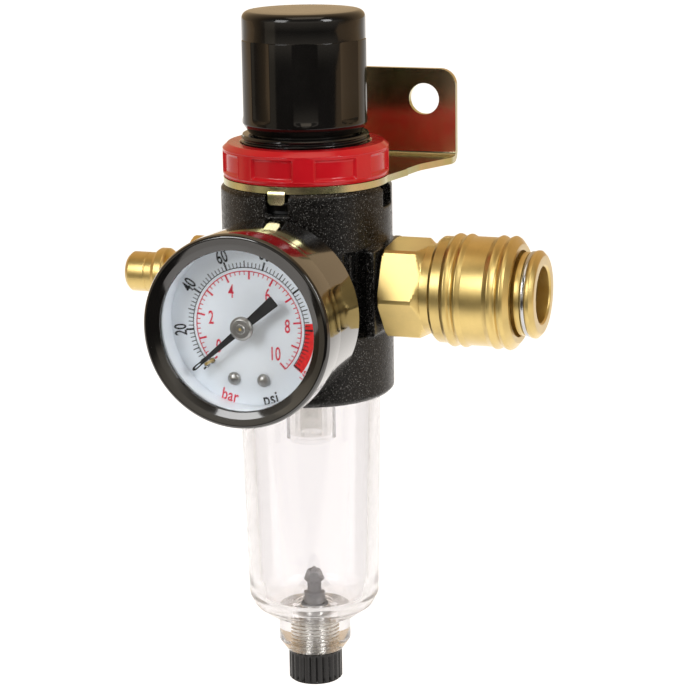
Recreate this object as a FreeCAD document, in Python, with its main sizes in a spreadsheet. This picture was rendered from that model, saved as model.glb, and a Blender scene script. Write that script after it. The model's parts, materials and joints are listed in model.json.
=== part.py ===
import FreeCAD, Part
import math
import os
import Sketcher

# Compact air filter-regulator: adjusting head, die-cast body, clear filter bowl,
# pressure gauge, quick coupler on the outlet and a plug nipple on the inlet.
# Millimetres, +Z up, +X the outlet side, -Y the gauge side, +Y the wall side.
# The origin is midway between the bracket's two holes, on its mounting face.

doc = FreeCAD.newDocument("filter_regulator")
sheet = doc.addObject("Spreadsheet::Sheet", "Dims")
V = FreeCAD.Vector
row = [1]


class Q:
    """A size that carries its value and the sheet expression it comes from."""

    def __init__(self, val, expr):
        self.val, self.expr = float(val), expr

    @staticmethod
    def of(o):
        return o if isinstance(o, Q) else Q(o, "%r" % float(o))

    def _op(self, o, sign, val, swap=False):
        o = Q.of(o)
        a, b = (o, self) if swap else (self, o)
        return Q(val, "(%s %s %s)" % (a.expr, sign, b.expr))

    def __add__(self, o):
        return self._op(o, "+", self.val + Q.of(o).val)

    def __radd__(self, o):
        return self._op(o, "+", self.val + Q.of(o).val, True)

    def __sub__(self, o):
        return self._op(o, "-", self.val - Q.of(o).val)

    def __rsub__(self, o):
        return self._op(o, "-", Q.of(o).val - self.val, True)

    def __mul__(self, o):
        return self._op(o, "*", self.val * Q.of(o).val)

    def __rmul__(self, o):
        return self._op(o, "*", self.val * Q.of(o).val, True)

    def __truediv__(self, o):
        return self._op(o, "/", self.val / Q.of(o).val)

    def __neg__(self):
        return Q(-self.val, "(0 - %s)" % self.expr)


def dim(alias, value):
    sheet.set("A%d" % row[0], alias)
    sheet.set("B%d" % row[0], "%r" % float(value))
    sheet.setAlias("B%d" % row[0], alias)
    row[0] += 1
    return Q(value, "Dims." + alias)


# ---- driving dimensions -------------------------------------------------
plate_back = dim("plate_back", 36.0)  # bracket mounting face behind the body axis
hole_height = dim("hole_height", 39.2)  # bracket holes above the port axis
hole_half = dim("hole_half", 18.0)  # half the spacing of the bracket holes
hole_rad = dim("hole_rad", 3.8)
plate_half = dim("plate_half", 26.0)
plate_top = dim("plate_top", 46.6)
sheet_thick = dim("sheet_thick", 1.6)
body_rad = dim("body_rad", 20.0)
body_top = dim("body_top", 24.0)
body_low = dim("body_low", -26.0)
port_face = dim("port_face", 20.0)
port_rad = dim("port_rad", 5.7)
recess_rad = dim("recess_rad", 17.5)
bonnet_thread = dim("bonnet_thread", 15.0)
bonnet_neck = dim("bonnet_neck", 11.9)
bonnet_bore = dim("bonnet_bore", 10.5)
nut_rad = dim("nut_rad", 19.4)
nut_low = dim("nut_low", 25.65)
nut_top = dim("nut_top", 33.5)
knob_rad = dim("knob_rad", 14.6)
knob_low = dim("knob_low", 35.8)
knob_step = dim("knob_step", 57.2)
flute_rad = dim("flute_rad", 16.6)
flute_ctr = dim("flute_ctr", 30.65)
knob_top = dim("knob_top", 63.7)
screw_rad = dim("screw_rad", 4.0)
bowl_rad = dim("bowl_rad", 16.7)
bowl_foot = dim("bowl_foot", 15.7)
bowl_neck = dim("bowl_neck", 8.7)
cap_rad = dim("cap_rad", 6.5)
cap_low = dim("cap_low", -99.3)
gauge_z = dim("gauge_z", -2.0)
gauge_rad = dim("gauge_rad", 21.9)
gauge_front = dim("gauge_front", -46.7)
gauge_back = dim("gauge_back", -23.4)
window_rad = dim("window_rad", 18.0)
dial_front = dim("dial_front", -38.6)
sleeve_rad = dim("sleeve_rad", 13.2)
mouth_rad = dim("mouth_rad", 6.5)
mouth_x = dim("mouth_x", 57.2)
tip_rad = dim("tip_rad", 4.8)
tip_x = dim("tip_x", -45.7)
gear_module = dim("gear_module", 0.35)
pinion_teeth = dim("pinion_teeth", 10)
sector_teeth = dim("sector_teeth", 50)
doc.recompute()

parts = []


def finish(obj, label, z_extra=None, own=None):
    """Label the sub-part and move it from the body axis to the bracket frame."""
    obj.Label = label
    own = own or V(0, 0, 0)
    obj.setExpression("Placement.Base.y", "%r - Dims.plate_back" % own.y)
    z = "%r - Dims.hole_height" % own.z
    if z_extra is not None:
        z = z + " + " + Q.of(z_extra).expr
    obj.setExpression("Placement.Base.z", z)
    parts.append(obj)
    return obj


def plane_of(body, role):
    for f in body.Origin.OriginFeatures:
        if f.Role == role:
            return f


def sketch_on(body, name, role, loops, offset=None):
    """A closed polygon sketch, every corner held by its two coordinates."""
    sk = body.newObject("Sketcher::SketchObject", name)
    sk.AttachmentSupport = [(plane_of(body, role), "")]
    sk.MapMode = "FlatFace"
    if offset is not None:
        sk.setExpression("AttachmentOffset.Base.z", Q.of(offset).expr)
        sk.AttachmentOffset = FreeCAD.Placement(V(0, 0, Q.of(offset).val), FreeCAD.Rotation())
    cons, exprs = [], []
    for loop in loops:
        if loop[0] == "circle":
            _, cx, cy, r = loop
            cx, cy, r = Q.of(cx), Q.of(cy), Q.of(r)
            g = sk.addGeometry(Part.Circle(V(cx.val, cy.val, 0), V(0, 0, 1), r.val), False)
            for kind, q in (("DistanceX", cx), ("DistanceY", cy)):
                exprs.append((len(cons), q))
                cons.append(Sketcher.Constraint(kind, -1, 1, g, 3, q.val))
            exprs.append((len(cons), r))
            cons.append(Sketcher.Constraint("Radius", g, r.val))
            continue
        pts = [(Q.of(a), Q.of(b)) for a, b in loop]
        n = len(pts)
        lines = [
            Part.LineSegment(
                V(pts[i][0].val, pts[i][1].val, 0),
                V(pts[(i + 1) % n][0].val, pts[(i + 1) % n][1].val, 0),
            )
            for i in range(n)
        ]
        ids = sk.addGeometry(lines, False)
        for i in range(n):
            cons.append(Sketcher.Constraint("Coincident", ids[i], 2, ids[(i + 1) % n], 1))
        for i in range(n):
            for kind, q in (("DistanceX", pts[i][0]), ("DistanceY", pts[i][1])):
                if "Dims." in q.expr:
                    exprs.append((len(cons), q))
                cons.append(Sketcher.Constraint(kind, -1, 1, ids[i], 1, q.val))
    sk.addConstraint(cons)
    for i, q in exprs:
        if "Dims." in q.expr:
            sk.renameConstraint(i, "c%d" % i)
            sk.setExpression("Constraints.c%d" % i, q.expr)
    return sk


def rev(label, pts, axis="Z", more=(), z_extra=None, keep=False):
    """A turned part. pts are (radius, along) pairs on the half section."""
    body = doc.addObject("PartDesign::Body", label + "_body")
    loops = []
    for loop in [pts] + list(more):
        loops.append([(b, a) for a, b in loop] if axis == "X" else list(loop))
    sk = sketch_on(body, label + "_profile", "XZ_Plane" if axis == "Z" else "XY_Plane", loops)
    f = body.newObject("PartDesign::Revolution", label + "_turned")
    f.Profile = sk
    f.ReferenceAxis = (sk, ["H_Axis" if axis == "X" else "V_Axis"])
    f.Angle = 360.0
    body.Tip = f
    return body if keep else finish(body, label, z_extra)


def pad(label, loops, role, start, length, z_extra=None, keep=False):
    """A flat part. The sketch lies at start along the plane's normal."""
    body = doc.addObject("PartDesign::Body", label + "_body")
    sk = sketch_on(body, label + "_outline", role, loops, start)
    f = body.newObject("PartDesign::Pad", label + "_pad")
    f.Profile = sk
    q = Q.of(length)
    f.Length = q.val
    if "Dims." in q.expr:
        f.setExpression("Length", q.expr)
    body.Tip = f
    return body if keep else finish(body, label, z_extra)


def pocket_ring(body, label, loops, role, start, length, count, axis="Z", angle=360.0):
    """Cut one pocket and repeat it round the axis."""
    sk = sketch_on(body, label + "_cut", role, loops, start)
    f = body.newObject("PartDesign::Pocket", label + "_pocket")
    f.Profile = sk
    f.Length = Q.of(length).val
    if "Dims." in Q.of(length).expr:
        f.setExpression("Length", Q.of(length).expr)
    f.Reversed = True
    body.Tip = f
    if count > 1:
        p = body.newObject("PartDesign::PolarPattern", label + "_ring")
        p.Originals = [f]
        p.Axis = (plane_axis(body, axis), [""])
        p.Angle = angle
        p.Occurrences = count
        body.Tip = p
    return f


def plane_axis(body, axis):
    for f in body.Origin.OriginFeatures:
        if f.Role == axis + "_Axis":
            return f


def cyl(name, r, length, pos, axis="Z"):
    c = doc.addObject("Part::Cylinder", name)
    for prop, v in (("Radius", r), ("Height", length)):
        v = Q.of(v)
        setattr(c, prop, v.val)
        if "Dims." in v.expr:
            c.setExpression(prop, v.expr)
    rot = {
        "Z": FreeCAD.Rotation(),
        "X": FreeCAD.Rotation(V(0, 1, 0), 90),
        "-X": FreeCAD.Rotation(V(0, 1, 0), -90),
        "Y": FreeCAD.Rotation(V(1, 0, 0), -90),
        "-Y": FreeCAD.Rotation(V(1, 0, 0), 90),
    }[axis]
    p = [Q.of(v) for v in pos]
    c.Placement = FreeCAD.Placement(V(*[v.val for v in p]), rot)
    for k, v in zip("xyz", p):
        if "Dims." in v.expr:
            c.setExpression("Placement.Base." + k, v.expr)
    return c


def box(name, size, pos):
    b = doc.addObject("Part::Box", name)
    for prop, v in zip(("Length", "Width", "Height"), size):
        v = Q.of(v)
        setattr(b, prop, v.val)
        if "Dims." in v.expr:
            b.setExpression(prop, v.expr)
    p = [Q.of(v) for v in pos]
    b.Placement = FreeCAD.Placement(V(*[v.val for v in p]), FreeCAD.Rotation())
    for k, v in zip("xyz", p):
        if "Dims." in v.expr:
            b.setExpression("Placement.Base." + k, v.expr)
    return b


def fuse(name, shapes):
    f = doc.addObject("Part::MultiFuse", name)
    f.Shapes = shapes
    return f


def cut(name, base, tool):
    c = doc.addObject("Part::Cut", name)
    c.Base, c.Tool = base, tool
    return c


def common(name, a, b):
    c = doc.addObject("Part::MultiCommon", name)
    c.Shapes = [a, b]
    return c


def feature(label, shape, z_extra=None):
    """A part made with Part's own functions, from sizes read from the sheet."""
    f = doc.addObject("Part::Feature", label + "_shape")
    where = shape.Placement
    f.Shape = shape
    f.Placement = where
    return finish(f, label, z_extra, where.Base)


def get(alias):
    return float(sheet.get(alias))


# ---- regulator body ------------------------------------------------------
shell = rev(
    "body_shell",
    [
        (recess_rad, body_top), (body_rad - 0.9, body_top), (body_rad, body_top - 0.9),
        (body_rad, body_low + 1.0), (body_rad - 1.0, body_low), (17.55, body_low),
        (17.55, -13.0), (15.5, -13.0), (15.5, -7.7), (9.2, -7.7), (9.2, body_low + 0.4), (6.0, body_low + 0.4),
        (6.0, -1.5), (4.0, -1.5), (4.0, 10.0), (13.8, 10.0), (13.8, 16.0), (recess_rad, 16.0),
    ],
    keep=True,
)
adds, cuts = [], []
for s, tag in ((1, "out"), (-1, "in")):
    # pocket beside each port, then the port's neck and its flange
    for t in (1, -1):
        x0 = 14.0 if s > 0 else -23.0
        y0 = 10.6 if t > 0 else -22.6
        cuts.append(box("relief_%s_%s" % (tag, "b" if t > 0 else "f"), (9, 12, 20), (x0, y0, -10)))
        y1 = 8.4 if t > 0 else -10.7
        x1 = 14.6 if s > 0 else -18.0
        cuts.append(box("undercut_%s_%s" % (tag, "b" if t > 0 else "f"), (3.4, 2.3, 20), (x1, y1, -10)))
for s, tag in ((1, "out"), (-1, "in")):
    adds.append(box("flange_" + tag, (8.0, 21.2, 20), ((port_face - 8.0) if s > 0 else -port_face, -10.6, -10)))
adds.append(cyl("gauge_boss", 8.5, 6, (0, -20.6, gauge_z), "Y"))
adds.append(cyl("rear_boss", 8.5, 6, (0, 14.6, 0), "Y"))
solid = fuse("body_mass", [shell] + adds)
hollows = [
    cyl("keep_recess", recess_rad, 12, (0, 0, 16)),
    cyl("keep_chamber", 13.8, 10, (0, 0, 10)),
    cyl("keep_bore", 6.0, 30, (0, 0, -31.5)),
    cyl("keep_throat", 4.0, 12, (0, 0, -1.6)),
    cut("keep_annulus", cyl("annulus_out", 15.5, 24, (0, 0, -31.7)), cyl("annulus_in", 9.2, 40, (0, 0, -40))),
    cut("keep_skirt", cyl("skirt_out", 17.55, 19, (0, 0, -32)), cyl("skirt_in", 9.2, 40, (0, 0, -40.5))),
    cyl("outlet_thread", port_rad, 10.6, (9.6, 0, 0), "X"),
    cyl("outlet_way", 2.2, 8, (2.5, 0, 1.6), "X"),
    cyl("inlet_thread", port_rad, 10.6, (-9.6, 0, 0), "-X"),
    cyl("inlet_way", 2.6, 9, (-12.3, 0, -9)),
    cyl("gauge_thread", 4.85, 11, (0, -9.9, gauge_z), "-Y"),
    cyl("gauge_way", 0.9, 8, (0, -2.5, 1.2), "-Y"),
    cyl("rear_thread", 4.85, 11, (0, 9.9, 0), "Y"),
    cyl("rear_way", 0.9, 8, (0, 2.5, 1.2), "Y"),
]
for k, (x0, y0) in enumerate(((-2.7, -21.0), (-2.7, 17.2), (-21.0, -2.7), (17.2, -2.7))):
    size = (5.4, 3.8, 5.2) if k < 2 else (3.8, 5.4, 5.2)
    hollows.append(box("notch_%d" % k, size, (x0, y0, body_top - 5.0)))
finish(cut("body_final", solid, fuse("body_hollows", cuts + hollows)), "regulator_body")

# ---- adjusting head ------------------------------------------------------
bonnet = rev(
    "bonnet_turned",
    [
        (13.7, 17.0), (recess_rad - 0.05, 17.0), (recess_rad - 0.05, 23.4), (16.8, 24.0), (bonnet_thread, 24.0),
        (bonnet_thread, 34.9), (bonnet_thread - 0.5, 35.4), (bonnet_neck, 35.4), (bonnet_neck, 51.0), (bonnet_neck - 1.0, 52.0),
        (4.15, 52.0), (4.15, 49.0), (bonnet_bore, 49.0), (bonnet_bore, 22.4), (13.7, 22.4),
    ],
    keep=True,
)
slots = fuse("bonnet_slots", [box("slot_a", (22.6, 3.2, 25.1), (-11.3, -1.6, 22.4)), box("slot_b", (3.2, 22.6, 25.1), (-1.6, -11.3, 22.4))])
finish(cut("bonnet_final", bonnet, slots), "bonnet")
rev("thrust_washer", [(4.25, 48.2), (8.6, 48.2), (8.6, 49.0), (4.25, 49.0)])
nut = rev(
    "lock_nut_turned",
    [
        (bonnet_thread + 0.05, nut_low), (nut_rad - 0.5, nut_low), (nut_rad, nut_low + 0.5), (nut_rad, nut_top - 1.3),
        (nut_rad - 1.4, nut_top), (bonnet_thread + 0.35, nut_top), (bonnet_thread + 0.05, nut_top - 0.4),
    ],
    keep=True,
)
grip = []
for k in range(8):
    b = box("grip_%d" % k, (3.0, 10.2, 4.6), (nut_rad - 1.2, -5.1, nut_low + 1.2))
    b.Placement = FreeCAD.Placement(V(0, 0, 0), FreeCAD.Rotation(V(0, 0, 1), 45 * k - 4.0)).multiply(b.Placement)
    b.setExpression("Placement.Base.x", None)
    b.setExpression("Placement.Base.z", None)
    grip.append(b)
finish(cut("lock_nut_final", nut, fuse("grip_cuts", grip)), "lock_nut")

# bracket: ring, flared arms and wall plate, with one tab down into the body's notch
ring_plate = pad(
    "bracket_flat",
    [
        [(-19.3, 2.0), (-21.4, 20.0), (-plate_half, 31.0), (-plate_half, plate_back), (plate_half, plate_back),
         (plate_half, 31.0), (21.4, 20.0), (19.3, 2.0), (13.5, -13.9), (3.0, -19.2), (-3.0, -19.2), (-13.5, -13.9)],
    ],
    "XY_Plane", body_top, sheet_thick, keep=True,
)
ring_disc = cyl("ring_disc", 19.3, sheet_thick, (0, 0, body_top))
wall = pad(
    "bracket_wall",
    [[(-plate_half, body_top), (plate_half, body_top), (plate_half, plate_top - 4.0), (plate_half - 0.54, plate_top - 2.0), (plate_half - 2.0, plate_top - 0.54), (plate_half - 4.0, plate_top),
      (-plate_half + 4.0, plate_top), (-plate_half + 2.0, plate_top - 0.54), (-plate_half + 0.54, plate_top - 2.0), (-plate_half, plate_top - 4.0)]],
    "XZ_Plane", -plate_back, sheet_thick, keep=True,
)
tab = box("bracket_tab", (4.1, sheet_thick, 4.1), (-2.05, -19.8, body_top + sheet_thick - 4.1))
bracket_cuts = fuse("bracket_cuts", [
    cyl("ring_bore", bonnet_thread + 0.15, 8, (0, 0, 20)),
    cyl("wall_hole_r", hole_rad, 8, (hole_half, plate_back - 5, hole_height), "Y"),
    cyl("wall_hole_l", hole_rad, 8, (-hole_half, plate_back - 5, hole_height), "Y"),
])
finish(cut("bracket_final", fuse("bracket_mass", [ring_plate, ring_disc, wall, tab]), bracket_cuts), "mounting_bracket")

knob = rev(
    "knob_turned",
    [
        (12.4, knob_low), (13.2, knob_low), (knob_rad, knob_low + 2.2), (knob_rad, knob_step), (knob_rad - 0.3, knob_step),
        (knob_rad - 0.3, knob_top - 2.0), (knob_rad - 0.9, knob_top - 0.7), (knob_rad - 2.3, knob_top), (0, knob_top),
        (0, 60.8), (6.4, 60.8), (6.4, 53.6), (12.4, 53.6),
    ],
    keep=True,
)
hub = rev("knob_hub", [(0, 53.6), (7.0, 53.6), (7.0, 61.5), (0, 61.5)], keep=True)
socket = doc.addObject("Part::Prism", "knob_socket")
socket.Polygon, socket.Circumradius, socket.Height = 6, 4.16, 7.6
socket.Placement = FreeCAD.Placement(V(0, 0, 53.2), FreeCAD.Rotation())
flutes = []
for k in range(8):
    t = math.radians(21.2 + 45 * k)
    flutes.append(cyl("finger_flute_%d" % k, flute_rad, knob_step - 38.9, (flute_ctr * math.cos(t), flute_ctr * math.sin(t), 38.9)))
finish(cut("knob_final", fuse("knob_mass", [knob, hub]), fuse("knob_cuts", [socket] + flutes)), "knob")

screw = rev(
    "screw_turned",
    [(0, 22.9), (screw_rad - 0.5, 22.9), (screw_rad, 23.4), (screw_rad, 46.6), (7.0, 46.6), (7.0, 48.15), (4.07, 48.15), (4.07, 52.3), (0, 52.3)],
    keep=True,
)
hexhead = doc.addObject("Part::Prism", "screw_hex")
hexhead.Polygon, hexhead.Circumradius, hexhead.Height = 6, 4.0, 7.8
hexhead.Placement = FreeCAD.Placement(V(0, 0, 51.8), FreeCAD.Rotation())
finish(fuse("screw_final", [screw, hexhead]), "adjusting_screw")

seat = rev("seat_turned", [(screw_rad + 0.06, 36.2), (6.6, 36.2), (6.6, 42.0), (10.2, 42.0), (10.2, 44.4), (screw_rad + 0.06, 44.4)], keep=True)
lugs = cut("seat_lugs", fuse("lug_bars", [box("lug_a", (22.0, 2.7, 2.4), (-11.0, -1.35, 42.0)), box("lug_b", (2.7, 22.0, 2.4), (-1.35, -11.0, 42.0))]), cyl("lug_core", 9.0, 4, (0, 0, 41.5)))
finish(fuse("seat_final", [seat, lugs]), "upper_spring_seat")


def coil(label, mean, wire, low, high, turns, axis="Z"):
    """A compression spring whose wire lies between two faces."""
    pitch = (high - low - 2 * wire) / turns
    helix = Part.makeHelix(pitch, pitch * turns, mean)
    section = Part.Wire([Part.makeCircle(wire, V(mean, 0, 0), V(0, 1, pitch / (2 * math.pi * mean)))])
    body = Part.Wire(helix.Edges).makePipeShell([section], True, True)
    if body.Volume < 0:
        body.reverse()
    body.translate(V(0, 0, low + wire))
    if axis == "X":
        body.rotate(V(0, 0, 0), V(0, 1, 0), 90)
    return feature(label, body)


coil("adjusting_spring", 8.5, 1.1, 21.45, 41.95, 5)

# ---- diaphragm and valve --------------------------------------------------
rev("diaphragm", [(3.05, 18.6), (11.9, 18.6), (12.9, 16.05), (17.4, 16.05), (17.4, 16.95), (13.5, 16.95), (12.5, 19.55), (3.05, 19.55)])
rev("diaphragm_plate", [(1.1, 17.4), (3.0, 17.4), (3.0, 19.6), (12.1, 19.6), (12.1, 21.4), (7.2, 21.4), (7.2, 22.4), (6.2, 22.4), (6.2, 21.0), (1.1, 21.0)])
rev("diaphragm_washer", [(3.02, 17.5), (9.0, 17.5), (9.0, 18.55), (3.02, 18.55)])
rev("valve_seat", [(2.6, -4.0), (5.97, -4.0), (5.97, -1.55), (3.2, -1.55), (2.6, -2.2)])
rev("valve_stem", [(0, -17.5), (2.2, -17.5), (2.2, -7.4), (4.4, -7.4), (4.4, -5.6), (1.6, -5.6), (1.6, 16.9), (1.0, 17.35), (0, 17.35)])
rev("valve_seal", [(1.62, -5.55), (4.3, -5.55), (4.3, -4.05), (1.62, -4.05)])
coil("valve_spring", 3.2, 0.35, -14.4, -7.45, 5)
guide = rev("guide_turned", [(2.26, -14.45), (5.95, -14.45), (5.95, -25.0), (1.25, -25.0), (1.25, -19.2), (2.26, -19.2)], keep=True)
airways = []
for k in range(4):
    a = math.radians(45 + 90 * k)
    airways.append(cyl("airway_%d" % k, 0.9, 12, (4.1 * math.cos(a), 4.1 * math.sin(a), -25.5)))
finish(cut("guide_final", guide, fuse("airways", airways)), "valve_guide")

# ---- filter ---------------------------------------------------------------
deflector = rev("deflector_turned", [(9.3, -23.6), (13.6, -23.6), (13.6, -22.2), (9.3, -22.2)], keep=True)
vanes = []
for k in range(8):
    b = box("vane_gap_%d" % k, (3.4, 1.6, 3.0), (10.9, -0.8, -24.4))
    b.Placement = FreeCAD.Placement(V(0, 0, 0), FreeCAD.Rotation(V(0, 0, 1), 45 * k)).multiply(b.Placement)
    vanes.append(b)
finish(cut("deflector_final", deflector, fuse("vane_gaps", vanes)), "air_deflector")
rev("filter_element", [(2.6, -36.6), (5.4, -36.6), (5.4, -25.05), (2.6, -25.05)])
rev("filter_retainer", [(0, -38.6), (5.2, -38.6), (5.8, -38.0), (5.8, -35.6), (5.45, -35.6), (5.45, -36.65), (2.5, -36.65), (2.5, -35.5), (1.2, -35.5), (1.2, -21.0), (0, -21.0)])

# ---- bowl and drain --------------------------------------------------------
rev(
    "bowl",
    [
        (13.9, -15.2), (17.45, -15.2), (17.45, -24.0), (bowl_rad, -24.6), (bowl_rad, -30.0), (bowl_foot + 0.25, -66.0), (bowl_foot, -76.8),
        (bowl_foot - 1.4, -79.6), (11.6, -81.6), (bowl_neck, -82.6), (bowl_neck, -88.8), (bowl_neck - 1.6, -91.2),
        (3.6, -91.2), (3.6, -81.2), (4.6, -81.2), (4.6, -80.2), (10.2, -79.4), (12.3, -76.6), (12.8, -72.0), (13.1, -60.0), (13.9, -30.0),
    ],
)
rev("bowl_o_ring", [(14.4, -15.1), (17.2, -15.1), (17.45, -14.8), (17.45, -13.3), (17.2, -13.05), (14.4, -13.05), (14.1, -13.3), (14.1, -14.8)])
rev("drain_bush", [(2.05, -91.2), (3.58, -91.2), (3.58, -81.25), (2.05, -81.25)])
rev(
    "drain_stem",
    [(0, -83.0), (0.9, -83.0), (0.9, -98.0), (1.9, -98.0), (1.9, -80.05), (2.6, -80.05), (2.6, -77.4), (1.7, -77.0), (1.7, -74.4), (2.5, -73.6), (1.3, -70.4), (0, -70.4)],
)
rev("drain_seal", [(1.95, -81.15), (4.3, -81.15), (4.5, -80.95), (4.5, -80.3), (4.3, -80.1), (1.95, -80.1)])
cap = rev(
    "cap_turned",
    [(2.0, -98.2), (1.1, -98.2), (1.1, cap_low), (cap_rad - 0.9, cap_low), (cap_rad, cap_low + 0.9), (cap_rad, -91.8), (cap_rad - 0.5, -91.35), (2.0, -91.35)],
    keep=True,
)
knurl = []
for k in range(24):
    g = box("knurl_%d" % k, (1.0, 0.6, 8.0), (6.2, -0.3, -100.0))
    g.Placement = FreeCAD.Placement(V(0, 0, 0), FreeCAD.Rotation(V(0, 0, 1), 15 * k)).multiply(g.Placement)
    knurl.append(g)
finish(cut("cap_final", cap, fuse("knurl_cuts", knurl)), "drain_cap")

# ---- outlet coupler ---------------------------------------------------------
# hexagon corners sit 6 degrees below the forward direction
hexbar = doc.addObject("Part::Prism", "coupler_hex")
hexbar.Polygon, hexbar.Circumradius, hexbar.Height = 6, 12.12, 9.6
hexbar.Placement = FreeCAD.Placement(V(21.0, 0, 0), FreeCAD.Rotation(V(1, 0, 0), 6).multiply(FreeCAD.Rotation(V(0, 1, 0), 90)).multiply(FreeCAD.Rotation(V(0, 0, 1), 30)))
hexform = rev("coupler_hex_form", [(0, 21.0), (11.6, 21.0), (12.4, 21.8), (12.4, 28.6), (10.5, 30.7), (0, 30.7)], "X", keep=True)
shank = rev(
    "coupler_shank",
    [
        (0, 10.2), (port_rad - 0.05, 10.2), (port_rad - 0.05, 21.0), (10.5, 21.0), (10.5, 34.4), (8.9, 34.4), (8.9, 36.4), (7.9, 36.4), (7.9, 54.0), (0, 54.0),
    ],
    "X", keep=True,
)
bore = rev(
    "coupler_bore",
    [(0, 9.0), (3.6, 9.0), (3.6, 27.0), (6.3, 27.0), (6.3, 55.0), (0, 55.0)],
    "X", keep=True,
)
ball_holes = [cyl("ball_way_a", 1.56, 6, (48.0, 0, 5.0)), cyl("ball_way_b", 1.56, 6, (48.0, 0, -11.0))]
ball_holes.append(cyl("ball_way_c", 1.56, 6, (48.0, 5.0, 0), "Y"))
ball_holes.append(cyl("ball_way_d", 1.56, 6, (48.0, -11.0, 0), "Y"))
coupler_mass = fuse("coupler_mass", [common("coupler_hexagon", hexbar, hexform), shank])
finish(cut("coupler_final", coupler_mass, fuse("coupler_cuts", [bore] + ball_holes)), "coupler_body")
rev("outlet_seal", [(port_rad + 0.1, 20.02), (9.0, 20.02), (9.0, 20.98), (port_rad + 0.1, 20.98)], "X")
rev(
    "coupler_sleeve",
    [
        (11.35, 32.9), (11.8, 32.9), (12.35, 33.6), (12.35, 35.9), (12.9, 36.3), (sleeve_rad, 37.0), (12.9, 37.7), (12.4, 38.2), (12.4, 38.5),
        (12.9, 39.0), (sleeve_rad, 39.7), (12.9, 40.4), (12.6, 40.8), (12.6, 46.0), (12.9, 46.6), (sleeve_rad, 47.3), (12.9, 48.0), (12.4, 48.6),
        (12.4, 48.8), (12.9, 49.4), (sleeve_rad, 50.2), (12.8, 50.9), (11.4, 52.0), (9.95, 52.0), (9.95, 49.9), (8.05, 45.6),
        (8.05, 41.6), (11.35, 41.6),
    ],
    "X",
)
coil("sleeve_spring", 9.6, 0.55, 34.5, 41.5, 3, "X")
rev("coupler_front_ring", [(7.92, 52.6), (9.6, 52.6), (9.6, 53.9), (9.1, 53.9), (9.1, 55.25), (10.0, 55.25), (10.1, 55.6), (10.1, 56.2), (9.3, 57.0), (8.9, mouth_x), (6.9, mouth_x), (mouth_rad, mouth_x - 0.4), (mouth_rad, 54.05), (7.92, 54.05)], "X")
snap = rev("snap_turned", [(9.12, 53.98), (9.9, 53.98), (9.9, 55.18), (9.12, 55.18)], "X", keep=True)
finish(cut("snap_final", snap, box("snap_gap", (3, 2.0, 4.0), (53.5, -1.0, -11.0))), "snap_ring")
rev("coupler_lip_seal", [(5.0, 40.0), (6.28, 40.0), (6.28, 42.6), (5.6, 42.6), (5.0, 41.4)], "X")
for k, (y, z) in enumerate(((0, 1), (0, -1), (1, 0), (-1, 0))):
    b = doc.addObject("Part::Sphere", "ball_%d" % (k + 1))
    b.Radius = 1.5
    b.Placement = FreeCAD.Placement(V(0, 0, 0), FreeCAD.Rotation())
    seat_ball = doc.addObject("Part::MultiFuse", "ball_placed_%d" % (k + 1))
    b.Placement = FreeCAD.Placement(V(47.97, 7.15 * y, 7.15 * z), FreeCAD.Rotation())
    core = doc.addObject("Part::Sphere", "ball_core_%d" % (k + 1))
    core.Radius = 0.5
    core.Placement = b.Placement
    seat_ball.Shapes = [b, core]
    finish(seat_ball, "locking_ball_%d" % (k + 1))
rev("coupler_poppet", [(0, 29.6), (1.6, 29.6), (1.6, 35.4), (4.4, 35.4), (4.4, 37.2), (2.6, 39.6), (2.6, 41.0), (0, 41.0)], "X")
rev("poppet_seal", [(4.45, 35.4), (5.6, 35.4), (5.6, 36.6), (4.45, 37.2)], "X")
rev("poppet_seat", [(4.7, 39.95), (4.7, 38.0), (6.28, 37.2), (6.28, 39.95)], "X")
coil("poppet_spring", 4.0, 0.38, 27.05, 35.35, 4, "X")

# ---- inlet nipple ------------------------------------------------------------
nipple = rev(
    "nipple_turned",
    [
        (2.9, tip_x), (tip_rad - 0.8, tip_x), (tip_rad, tip_x + 0.9), (tip_rad, -38.6), (5.6, -38.2), (6.0, -37.6),
        (6.0, -35.8), (5.6, -35.2), (4.3, -34.6), (4.3, -31.5), (7.8, -29.6), (7.8, -21.2), (port_rad - 0.05, -21.2), (port_rad - 0.05, -10.4), (2.9, -10.4),
    ],
    "X", keep=True,
)
nip_hex = doc.addObject("Part::Prism", "nipple_hex")
nip_hex.Polygon, nip_hex.Circumradius, nip_hex.Height = 6, 9.8, 7.6
nip_hex.Placement = FreeCAD.Placement(V(-21.2, 0, 0), FreeCAD.Rotation(V(0, 1, 0), -90))
nip_bore = cyl("nipple_bore", 2.9, 40, (-8, 0, 0), "-X")
finish(cut("nipple_final", fuse("nipple_mass", [nipple, nip_hex]), nip_bore), "inlet_nipple")
rev("inlet_seal", [(port_rad + 0.1, -20.02), (8.6, -20.02), (8.6, -21.18), (port_rad + 0.1, -21.18)], "X")
plug = rev("plug_turned", [(0, 11.2), (4.8, 11.2), (4.8, 20.65), (6.4, 20.65), (6.4, 21.4), (6.0, 21.8), (0, 21.8)], "Y", keep=True)
plug_key = doc.addObject("Part::Prism", "plug_socket")
plug_key.Polygon, plug_key.Circumradius, plug_key.Height = 6, 2.9, 4.0
plug_key.Placement = FreeCAD.Placement(V(0, 22.5, 0), FreeCAD.Rotation(V(1, 0, 0), 90))
finish(cut("plug_final", plug, plug_key), "rear_port_plug")

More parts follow.
